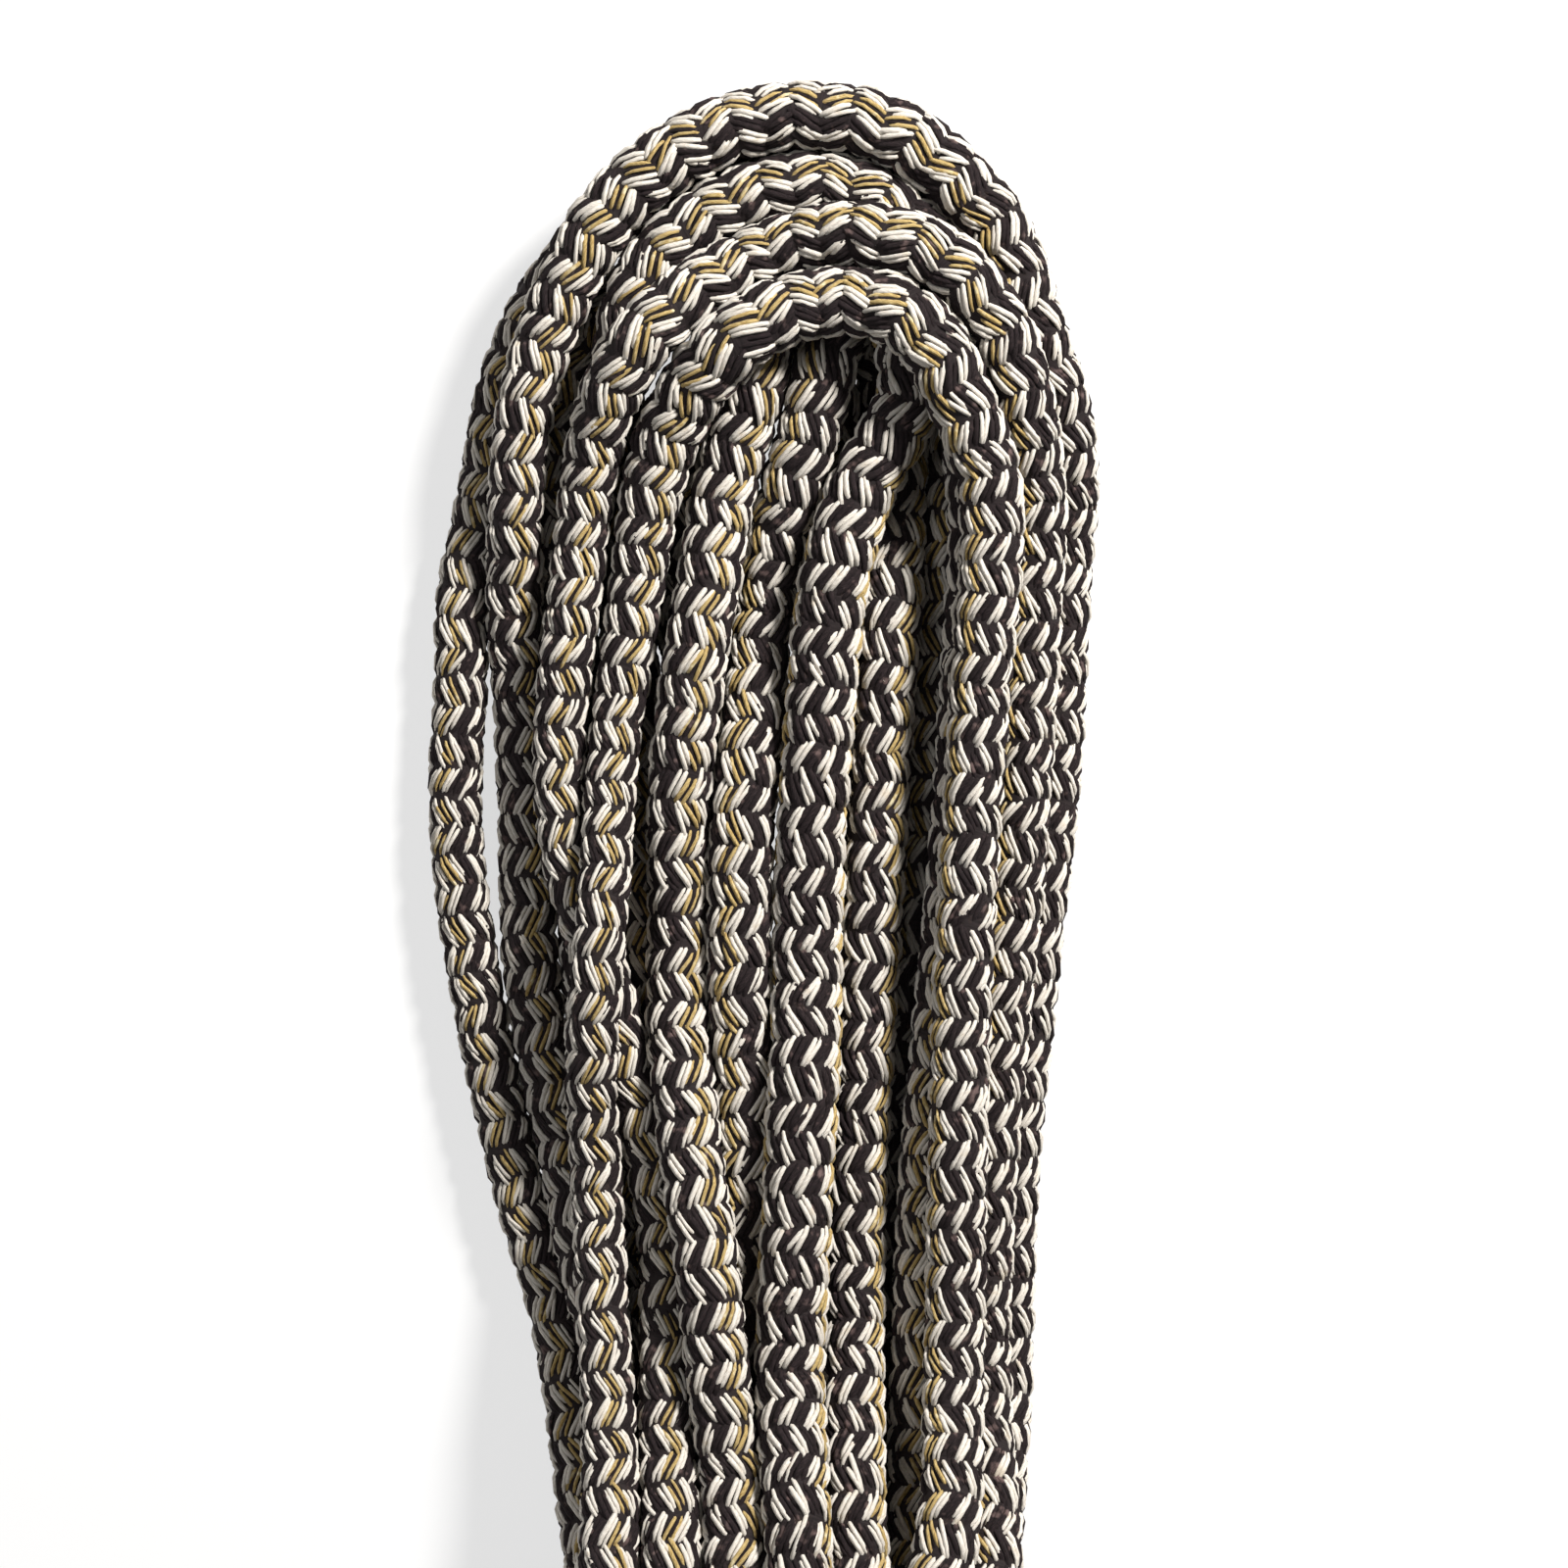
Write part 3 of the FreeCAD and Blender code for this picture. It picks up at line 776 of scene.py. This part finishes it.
def blend_colours(tree, share, under, over):
    """One colour over another, by a share from 0 to 1."""
    mixed = tree.nodes.new("ShaderNodeMix")
    mixed.data_type = "RGBA"
    link(tree, share, mixed.inputs["Factor"])
    link(tree, under, mixed.inputs["A"])
    link(tree, over, mixed.inputs["B"])
    return mixed.outputs["Result"]


def fibre_sockets(group):
    """The named inputs and outputs of the group of fibres."""
    for name in ("Base", "Painted Shade", "Fleck"):
        group.interface.new_socket(name, in_out="INPUT", socket_type="NodeSocketColor")
    group.interface.new_socket("Fleck Amount", in_out="INPUT", socket_type="NodeSocketFloat")
    group.interface.new_socket("Colour", in_out="OUTPUT", socket_type="NodeSocketColor")
    for name in ("Height", "Roughness"):
        group.interface.new_socket(name, in_out="OUTPUT", socket_type="NodeSocketFloat")


def fibre_streaks(group):
    """Noise in long streaks, which wind round the yarn as its fibres do."""
    nodes = group.nodes
    yarn = nodes.new("ShaderNodeAttribute")
    yarn.attribute_name = "yarn"
    parts = nodes.new("ShaderNodeSeparateXYZ")
    link(group, yarn.outputs["Vector"], parts.inputs[0])
    spin = nodes.new("ShaderNodeMath")
    spin.operation = "MULTIPLY"
    spin.inputs[1].default_value = FIBRE_TURN
    link(group, parts.outputs["X"], spin.inputs[0])
    turned = nodes.new("ShaderNodeVectorRotate")
    turned.rotation_type = "X_AXIS"
    link(group, yarn.outputs["Vector"], turned.inputs["Vector"])
    link(group, spin.outputs[0], turned.inputs["Angle"])
    stretched = nodes.new("ShaderNodeVectorMath")
    stretched.operation = "MULTIPLY"
    stretched.inputs[1].default_value = FIBRE_STRETCH
    link(group, turned.outputs[0], stretched.inputs[0])
    streaks = nodes.new("ShaderNodeTexNoise")
    streaks.inputs["Scale"].default_value = STREAK_SCALE
    streaks.inputs["Detail"].default_value = STREAK_DETAIL
    streaks.inputs["Roughness"].default_value = STREAK_ROUGHNESS
    link(group, stretched.outputs[0], streaks.inputs["Vector"])
    return streaks.outputs["Fac"]


def fleck_share(group, amount):
    """How much of the stray fibres' shade shows at each place."""
    nodes = group.nodes
    where = nodes.new("ShaderNodeTexCoord")
    spots = nodes.new("ShaderNodeTexNoise")
    spots.inputs["Scale"].default_value = FLECK_SCALE
    spots.inputs["Detail"].default_value = FLECK_DETAIL
    link(group, where.outputs["Object"], spots.inputs["Vector"])
    few = between(group, spots.outputs["Fac"], "From", FLECK_EDGES)
    share = nodes.new("ShaderNodeMath")
    share.operation = "MULTIPLY"
    link(group, few, share.inputs[0])
    link(group, amount, share.inputs[1])
    return share.outputs[0]


def fibre_group():
    """Streaks of fibres along a yarn, from its own coordinates: a colour with painted shade in the streaks'
    hollows, a height and a roughness.
    """
    group = bpy.data.node_groups.new("fibres", "ShaderNodeTree")
    fibre_sockets(group)
    given = group.nodes.new("NodeGroupInput")
    made = group.nodes.new("NodeGroupOutput")
    streaks = fibre_streaks(group)
    raised = between(group, streaks, "From", STREAK_EDGES)
    # the darker colour in the streaks' hollows is painted shade between the fibres
    body = blend_colours(group, raised, given.outputs["Painted Shade"], given.outputs["Base"])
    share = fleck_share(group, given.outputs["Fleck Amount"])
    flecked = blend_colours(group, share, body, given.outputs["Fleck"])
    link(group, flecked, made.inputs["Colour"])
    link(group, raised, made.inputs["Height"])
    link(group, between(group, streaks, "To", FIBRE_ROUGHNESS), made.inputs["Roughness"])
    return group


FIBRES = fibre_group()
FIBRE_DEPTH = 0.12 * MM
YARN_SHEEN_ROUGHNESS = 0.4
YARN_SPECULAR = 0.18


def yarn_material(name, base, deep, fleck, fleck_amount, sheen, bump):
    """A soft spun yarn: its colour, the shade painted between its fibres, and that of its stray fibres."""
    material = bpy.data.materials.new(name)
    material.use_nodes = True
    tree = material.node_tree
    shader = tree.nodes["Principled BSDF"]
    fibres = tree.nodes.new("ShaderNodeGroup")
    fibres.node_tree = FIBRES
    fibres.inputs["Base"].default_value = (*base, 1)
    fibres.inputs["Painted Shade"].default_value = (*deep, 1)
    fibres.inputs["Fleck"].default_value = (*fleck, 1)
    fibres.inputs["Fleck Amount"].default_value = fleck_amount
    link(tree, fibres.outputs["Colour"], shader.inputs["Base Color"])
    link(tree, fibres.outputs["Roughness"], shader.inputs["Roughness"])
    raised = tree.nodes.new("ShaderNodeBump")
    raised.inputs["Strength"].default_value = bump
    raised.inputs["Distance"].default_value = FIBRE_DEPTH
    link(tree, fibres.outputs["Height"], raised.inputs["Height"])
    link(tree, raised.outputs["Normal"], shader.inputs["Normal"])
    shader.inputs["Sheen Weight"].default_value = sheen
    shader.inputs["Sheen Roughness"].default_value = YARN_SHEEN_ROUGHNESS
    shader.inputs["Specular IOR Level"].default_value = YARN_SPECULAR
    return material


# In each yarn below, deep is painted shade: the darker colour laid in the hollows between the fibres.
white_yarn = yarn_material(
    "white_yarn",
    base=(0.78, 0.735, 0.66),
    deep=(0.50, 0.445, 0.38),
    fleck=(0.46, 0.35, 0.2),
    fleck_amount=0.35,
    sheen=0.08,
    bump=0.6,
)
black_yarn = yarn_material(
    "black_yarn",
    base=(0.028, 0.018, 0.019),
    deep=(0.003, 0.002, 0.002),
    fleck=(0.20, 0.135, 0.125),
    fleck_amount=0.75,
    sheen=0.0,
    bump=1.0,
)
gold_yarn = yarn_material(
    "gold_yarn",
    base=(0.61, 0.475, 0.215),
    deep=(0.25, 0.135, 0.025),
    fleck=(0.78, 0.70, 0.47),
    fleck_amount=0.8,
    sheen=0.08,
    bump=0.7,
)
# The core's near-black colour is painted shade, standing for the deep gaps between the plies.
core_painted_shade = yarn_material(
    "rope_core_painted_shade",
    base=(0.020, 0.014, 0.014),
    deep=(0.006, 0.004, 0.004),
    fleck=(0.05, 0.03, 0.02),
    fleck_amount=0.3,
    sheen=0.0,
    bump=0.3,
)
twine_material = yarn_material(
    "waxed_twine",
    base=(0.60, 0.52, 0.38),
    deep=(0.30, 0.24, 0.16),
    fleck=(0.7, 0.62, 0.48),
    fleck_amount=0.4,
    sheen=0.0,
    bump=0.5,
)
# in the order of WHITE, BLACK and GOLD
YARNS = [white_yarn, black_yarn, gold_yarn]

# The yarns' ends at the sealed tip: how finely they show, the shares of them after which black and gold
# ones follow the white ones, and the three colours once they are melted.
YARN_ENDS_SCALE = 650.0
BLACK_FROM = 0.52
GOLD_FROM = 0.82
MELTED_WHITE = (0.42, 0.37, 0.29, 1)
MELTED_BLACK = (0.022, 0.016, 0.015, 1)
MELTED_GOLD = (0.34, 0.22, 0.06, 1)
MELT_BUMP = 0.5
MELT_DEPTH = 0.2 * MM
MELT_ROUGHNESS = 0.38


def sealed_material():
    """Yarn ends melted together: mottled, and glossier than the yarns."""
    material = bpy.data.materials.new("sealed_yarn_ends")
    material.use_nodes = True
    tree = material.node_tree
    shader = tree.nodes["Principled BSDF"]
    where = tree.nodes.new("ShaderNodeTexCoord")
    cells = tree.nodes.new("ShaderNodeTexVoronoi")
    cells.inputs["Scale"].default_value = YARN_ENDS_SCALE
    link(tree, where.outputs["Object"], cells.inputs["Vector"])
    pick = tree.nodes.new("ShaderNodeSeparateColor")
    link(tree, cells.outputs["Color"], pick.inputs[0])
    ramp = tree.nodes.new("ShaderNodeValToRGB")
    ramp.color_ramp.interpolation = "CONSTANT"
    ramp.color_ramp.elements[0].color = MELTED_WHITE
    ramp.color_ramp.elements[1].position = BLACK_FROM
    ramp.color_ramp.elements[1].color = MELTED_BLACK
    last = ramp.color_ramp.elements.new(GOLD_FROM)
    last.color = MELTED_GOLD
    link(tree, pick.outputs[0], ramp.inputs[0])
    link(tree, ramp.outputs[0], shader.inputs["Base Color"])
    raised = tree.nodes.new("ShaderNodeBump")
    raised.inputs["Strength"].default_value = MELT_BUMP
    raised.inputs["Distance"].default_value = MELT_DEPTH
    link(tree, cells.outputs["Distance"], raised.inputs["Height"])
    link(tree, raised.outputs[0], shader.inputs["Normal"])
    shader.inputs["Roughness"].default_value = MELT_ROUGHNESS
    return material


tip_material = sealed_material()


# ---------------------------------------------------------------- the rope

control, girth = laid_route()
centreline = spline_points("rope_route", control)
line = Line(centreline, control, girth)
throat_end_s = line.distance[np.argmin(np.linalg.norm(line.place - np.array(THROAT_START) * MM, axis=1))]
throat_start_s = throat_end_s - THROAT_LENGTH * MM

# Which of the braid's columns faces up on each turn's left leg, at its top and on its right leg.
FACING_UP = (
    (4.0, 4.2, 1.5),
    (2.5, 4.2, 1.2),
    (3.0, 4.2, 1.5),
    (3.0, 4.2, 2.0),
    (3.0, 4.2, 1.2),
    (2.0, 4.2, 2.0),
    (2.0, 4.2, 6.3),
    (4.8, 4.6, 5.0),
    (2.7, 4.2, 0.5),
)
# A turn starts and ends where the rope passes this place above the neck. Its facing is set at every
# FACING_STEP-th point, and a leg has its own facing a little before it runs straight along the hank.
FACING_Y = 20 * MM
FACING_STEP = 12
FACING_EARLY = 1.1

# How the braid wanders round the rope by itself: how far in radians, how quickly, and its start.
WANDER = ((0.14, 31.0, 0.0), (0.08, 73.0, 2.0))


def facing_twist():
    """Distances along the rope, and how far the braid is turned round it there to face as it should."""
    y = line.place[:, 1] - FACING_Y
    crossing = np.nonzero(y[:-1] * y[1:] < 0)[0]
    upward = np.arctan2(line.over[:, 2], line.across[:, 2])
    stations, turned = [0.0], [0.0]
    for number, (left, top, right) in enumerate(FACING_UP):
        for i in range(crossing[2 * number], crossing[2 * number + 1], FACING_STEP):
            hill = line.ahead[i, 1]
            leg_share = min(abs(hill) * FACING_EARLY, 1) ** 2
            column = top + ((left if hill > 0 else right) - top) * leg_share
            wanted = upward[i] - column * FULL_TURN / COLUMNS
            wanted += FULL_TURN * round((turned[-1] - wanted) / FULL_TURN)
            stations.append(line.distance[i])
            turned.append(wanted)
    return np.array(stations), np.array(turned)


stations, turned = facing_twist()


def twist(s):
    """How far the braid has turned round the rope, in radians."""
    angle = np.interp(s, stations, turned)
    for far, rate, start in WANDER:
        angle = angle + far * np.sin(s * rate + start)
    return angle


def sweep(name, path, radius, sides, materials, axes=None):
    """A capped tube along some points, with a radius for each, and the yarn coordinates kept."""
    if axes is None:
        ahead = np.gradient(path, axis=0)
        ahead /= np.linalg.norm(ahead, axis=1)[:, None]
        axes = across_path(ahead, LEANING)
    around = np.arange(sides) / sides * FULL_TURN
    ring = np.cos(around)[None, :, None] * axes[0][:, None]
    ring = ring + np.sin(around)[None, :, None] * axes[1][:, None]
    vertices = path[:, None] + np.broadcast_to(radius, len(path))[:, None, None] * ring
    quads, ends = tube_faces(1, len(path), sides)
    mesh = new_mesh(name, vertices.reshape(-1, 3), quads, ends)
    run = np.concatenate([[0], np.cumsum(np.linalg.norm(np.diff(path, axis=0), axis=1))])
    keep_yarn(mesh, run / MM, around)
    return place(name, mesh, materials)


# ---- the core

# How far apart its rings lie, and how many sides it has.
CORE_STEP = 2.5 * MM
CORE_SIDES = 12


def lay_core():
    """The bare core that the cover is braided on, which carries the rope's route, and whose near-black
    colour is painted shade between the plies.
    """
    s = np.linspace(0, line.length, int(line.length / CORE_STEP))
    centre, across, over = line.at(s)
    radius = CORE_RADIUS * line.thick(s)
    core = sweep("rope_core_painted_shade", centre, radius, CORE_SIDES, [core_painted_shade], (across, over))
    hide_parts("long_bights", "short_bights", "gathered_turns", "frapping_turns")
    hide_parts("eye_leg", "eye_loop", "tail")
    return core


core = lay_core()

# ---- the cover

# Its lengths each stay light. It leaves out the splice's throat, and laps into it from both sides.
COVER_LENGTH = 0.36
LAP_AT_EYE = 6 * MM
LAP_AT_LEG = 3 * MM


def lay_cover():
    """The braided cover of the whole rope but for the splice's throat, in numbered lengths."""
    covers = 0
    for first_s, last_s in ((0, throat_start_s + LAP_AT_EYE), (throat_end_s - LAP_AT_LEG, line.length)):
        parts = int(math.ceil((last_s - first_s) / COVER_LENGTH))
        marks = np.round(np.linspace(first_s, last_s, parts + 1) / HALF_PERIOD) * HALF_PERIOD
        for low_s, high_s in zip(marks, marks[1:]):
            covers += 1
            mesh = ply_mesh("cover", *braid(line, low_s, high_s, covers, twist))
            piece = place("cover_%02d" % covers, mesh, YARNS)


lay_cover()

# ---- the splice

# Its line, in millimetres: from beyond the crotch, past a place on the way, to beyond the throat's start.
BEYOND_CROTCH = 8
ON_THE_WAY = 19
BEYOND_THROAT = 6
THROAT_RINGS = 9
THROAT_SEED = 900

# From this distance along its line the splice is as slim as the leg, and it spreads to its full width
# over THROAT_SPREAD before that. It slims a little again within THROAT_LIP of the line's start.
THROAT_SLIM_FROM = 0.046
THROAT_SPREAD = 0.038
THROAT_LIP = 0.012
THROAT_WIDER = 1.05
THROAT_TALLER = 0.09
THROAT_LIP_SLIMMER = 0.12
THROAT_FULLNESS = 0.8


def throat_shape(along):
    """How much wider and taller than the rope the splice is, at distances along its line."""
    share = np.clip((THROAT_SLIM_FROM - along) / THROAT_SPREAD, 0, 1)
    lip = np.clip((THROAT_LIP - along) / THROAT_LIP, 0, 1)
    wider = 1 + THROAT_WIDER * share**THROAT_FULLNESS - THROAT_LIP_SLIMMER * lip
    taller = 1 + THROAT_TALLER * share - THROAT_LIP_SLIMMER * lip
    return wider, taller


def untwisted(s):
    """The splice's braid runs straight along it."""
    return 0 * s


def lay_throat():
    """The cover over both parts of the rope in the splice: round at the leg and wide at the crotch."""
    control = [CROTCH + HEADING * BEYOND_CROTCH, CROTCH, CROTCH - HEADING * ON_THE_WAY]
    control += [THROAT_START, THROAT_START - HEADING * BEYOND_THROAT]
    points = np.array([tuple(spot) for spot in control]) * MM
    throat_line = Line(points, points, np.ones(len(points)))
    plies = braid(throat_line, 0, THROAT_RINGS * HALF_PERIOD, THROAT_SEED, untwisted, throat_shape)
    throat = place("throat", ply_mesh("throat", *plies), YARNS)
    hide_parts("eye_throat")
    return throat


throat = lay_throat()

# ---- the whippings

# The waxed twine: its turns lie this far apart, and it is slightly thicker than that, so they press on
# each other. It sinks a little into the cover, and no turn lies quite as deep as the next.
TWINE = 1.1 * MM
TWINE_RADIUS = 0.53 * TWINE
TWINE_SINK = 0.1 * MM
TWINE_STRAY = 0.04 * MM
TWINE_STRAY_RATE = 2.3
TWINE_POINTS = 28
TWINE_SIDES = 7
# Where the whippings start and end, from the end of the splice's throat and from the end of the rope.
EYE_WHIPPING = (-1 * MM, 14 * MM)
TAIL_WHIPPING = (-16 * MM, -4 * MM)


def whipping(name, origin_s, ends, node):
    """Waxed twine wound round the rope side by side."""
    start_s, end_s = origin_s + ends[0], origin_s + ends[1]
    turns = (end_s - start_s) / TWINE - 1
    turn = np.linspace(0, turns, int(turns * TWINE_POINTS))
    centre, across, over = line.at(start_s + TWINE * (turn + 0.5))
    angle = turn * FULL_TURN
    reach = RADIUS - TWINE_SINK + TWINE / 2 + TWINE_STRAY * np.sin(turn * TWINE_STRAY_RATE)
    path = centre + reach[:, None] * (np.cos(angle)[:, None] * across + np.sin(angle)[:, None] * over)
    made = sweep(name, path, TWINE_RADIUS, TWINE_SIDES, [twine_material])
    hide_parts(node)
    return made


eye_whipping = whipping("eye_twine", throat_end_s, EYE_WHIPPING, "eye_whipping")
tail_whipping = whipping("tail_twine", line.length, TAIL_WHIPPING, "tail_whipping")

# ---- the sealed end

# Its profile: how far each ring lies past the rope's end, and its radius.
TIP_RUN = np.array([-0.8, 0, 0.8, 1.8, 2.8, 3.5, 3.9, 4.0]) * MM
TIP_RADIUS = np.array([5.9, 6.0, 5.95, 5.8, 5.5, 4.9, 3.6, 0.4]) * MM
TIP_SIDES = 48
# Its lobes: how deep they are, how they rise and fall, how many go round, and their start.
TIP_LOBES = ((0.018, np.cos, 12, 0), (0.012, np.sin, 5, 1), (0.01, np.cos, 7, 0))


def lay_tip():
    """The yarns' ends, melted together into a lobed cap."""
    centre, across, over = line.at(np.array([line.length]))
    angle = np.arange(TIP_SIDES) / TIP_SIDES * FULL_TURN
    lobes = 1
    for depth, wave, count, start in TIP_LOBES:
        lobes = lobes + depth * wave(count * angle + start)
    ring = np.cos(angle)[:, None] * across + np.sin(angle)[:, None] * over
    reach = (TIP_RADIUS[:, None] * lobes[None])[..., None] * ring[None]
    vertices = centre[0] + TIP_RUN[:, None, None] * line.ahead[-1] + reach
    quads, ends = tube_faces(1, len(TIP_RUN), TIP_SIDES)
    tip = place("sealed_tip", new_mesh("sealed_tip", vertices.reshape(-1, 3), quads, ends), [tip_material])
    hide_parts("tail_tip")
    return tip


tip = lay_tip()

# ---------------------------------------------------------------- camera, light and floor

# The camera looks straight down on the long bights from a metre up.
CAMERA_AT = (4.3 * MM, 147.4 * MM, 1000 * MM)
CAMERA_LENS = 128.0
CAMERA_SENSOR = 36.0

# The even light from all round, and the plain white that the background shows.
WHITE_LIGHT = (1, 1, 1, 1)
AMBIENT = 0.1
BACKGROUND = 1.0
FLOOR_REACH = 3.0
FLOOR_COLOUR = (0.85, 0.845, 0.835, 1)
FLOOR_ROUGHNESS = 0.8
# How much of the floor that the camera sees is plain white. The rest is lit, and keeps the shadow.
FLOOR_GLOW = 0.68


def overhead_camera():
    """The camera straight above."""
    data = bpy.data.cameras.new("camera")
    data.sensor_width = CAMERA_SENSOR
    data.lens = CAMERA_LENS
    camera = bpy.data.objects.new("camera", data)
    camera.location = CAMERA_AT
    camera.rotation_euler = (0, 0, 0)
    bpy.context.scene.collection.objects.link(camera)
    bpy.context.scene.camera = camera


def area_light(name, where, target, wide, power, colour):
    """A round lamp that faces a target."""
    data = bpy.data.lights.new(name, "AREA")
    data.shape = "DISK"
    data.size = wide
    data.energy = power
    data.color = colour
    made = bpy.data.objects.new(name, data)
    made.location = where
    made.rotation_euler = (Vector(target) - Vector(where)).to_track_quat("-Z", "Y").to_euler()
    bpy.context.scene.collection.objects.link(made)


def seen_rays(tree):
    """One for the rays that show the background: straight from the camera, mirrored, or through glass."""
    path = tree.nodes.new("ShaderNodeLightPath")
    total = path.outputs["Is Camera Ray"]
    for kind in ("Is Glossy Ray", "Is Transmission Ray"):
        larger = tree.nodes.new("ShaderNodeMath")
        larger.operation = "MAXIMUM"
        link(tree, total, larger.inputs[0])
        link(tree, path.outputs[kind], larger.inputs[1])
        total = larger.outputs[0]
    return total


def studio_world():
    """A faint even light from all round, which shows as plain white."""
    world = bpy.data.worlds.new("world")
    bpy.context.scene.world = world
    world.use_nodes = True
    sky = world.node_tree
    ambient = sky.nodes["Background"]
    ambient.inputs["Color"].default_value = WHITE_LIGHT
    ambient.inputs["Strength"].default_value = AMBIENT
    seen = sky.nodes.new("ShaderNodeBackground")
    seen.inputs["Color"].default_value = WHITE_LIGHT
    seen.inputs["Strength"].default_value = BACKGROUND
    mixed = sky.nodes.new("ShaderNodeMixShader")
    link(sky, seen_rays(sky), mixed.inputs["Fac"])
    link(sky, ambient.outputs[0], mixed.inputs[1])
    link(sky, seen.outputs[0], mixed.inputs[2])
    link(sky, mixed.outputs[0], sky.nodes["World Output"].inputs["Surface"])


def floor_finish():
    """Pale and matt, and mostly plain white where the camera sees it."""
    material = bpy.data.materials.new("floor")
    material.use_nodes = True
    tree = material.node_tree
    shader = tree.nodes["Principled BSDF"]
    shader.inputs["Base Color"].default_value = FLOOR_COLOUR
    shader.inputs["Roughness"].default_value = FLOOR_ROUGHNESS
    glow = tree.nodes.new("ShaderNodeEmission")
    glow.inputs["Color"].default_value = WHITE_LIGHT
    glow.inputs["Strength"].default_value = BACKGROUND
    share = tree.nodes.new("ShaderNodeMath")
    share.operation = "MULTIPLY"
    share.inputs[1].default_value = FLOOR_GLOW
    link(tree, seen_rays(tree), share.inputs[0])
    mixed = tree.nodes.new("ShaderNodeMixShader")
    link(tree, share.outputs[0], mixed.inputs["Fac"])
    link(tree, shader.outputs[0], mixed.inputs[1])
    link(tree, glow.outputs[0], mixed.inputs[2])
    link(tree, mixed.outputs[0], tree.nodes["Material Output"].inputs["Surface"])
    return material


def studio_floor():
    """A wide flat floor."""
    mesh = bpy.data.meshes.new("floor")
    far = FLOOR_REACH
    mesh.from_pydata([(-far, -far, 0), (far, -far, 0), (far, far, 0), (-far, far, 0)], [], [(0, 1, 2, 3)])
    floor = bpy.data.objects.new("floor", mesh)
    bpy.context.scene.collection.objects.link(floor)
    mesh.materials.append(floor_finish())


overhead_camera()
area_light("key", (0.66, 0.84, 0.77), target=(0, 0.13, 0), wide=0.22, power=30.5, colour=(1.0, 0.985, 0.965))
area_light("fill", (-0.8, 0.2, 0.9), target=(0, 0.1, 0), wide=0.6, power=3.0, colour=(0.95, 0.97, 1.0))
studio_world()
studio_floor()

bpy.context.scene.view_settings.view_transform = "Standard"
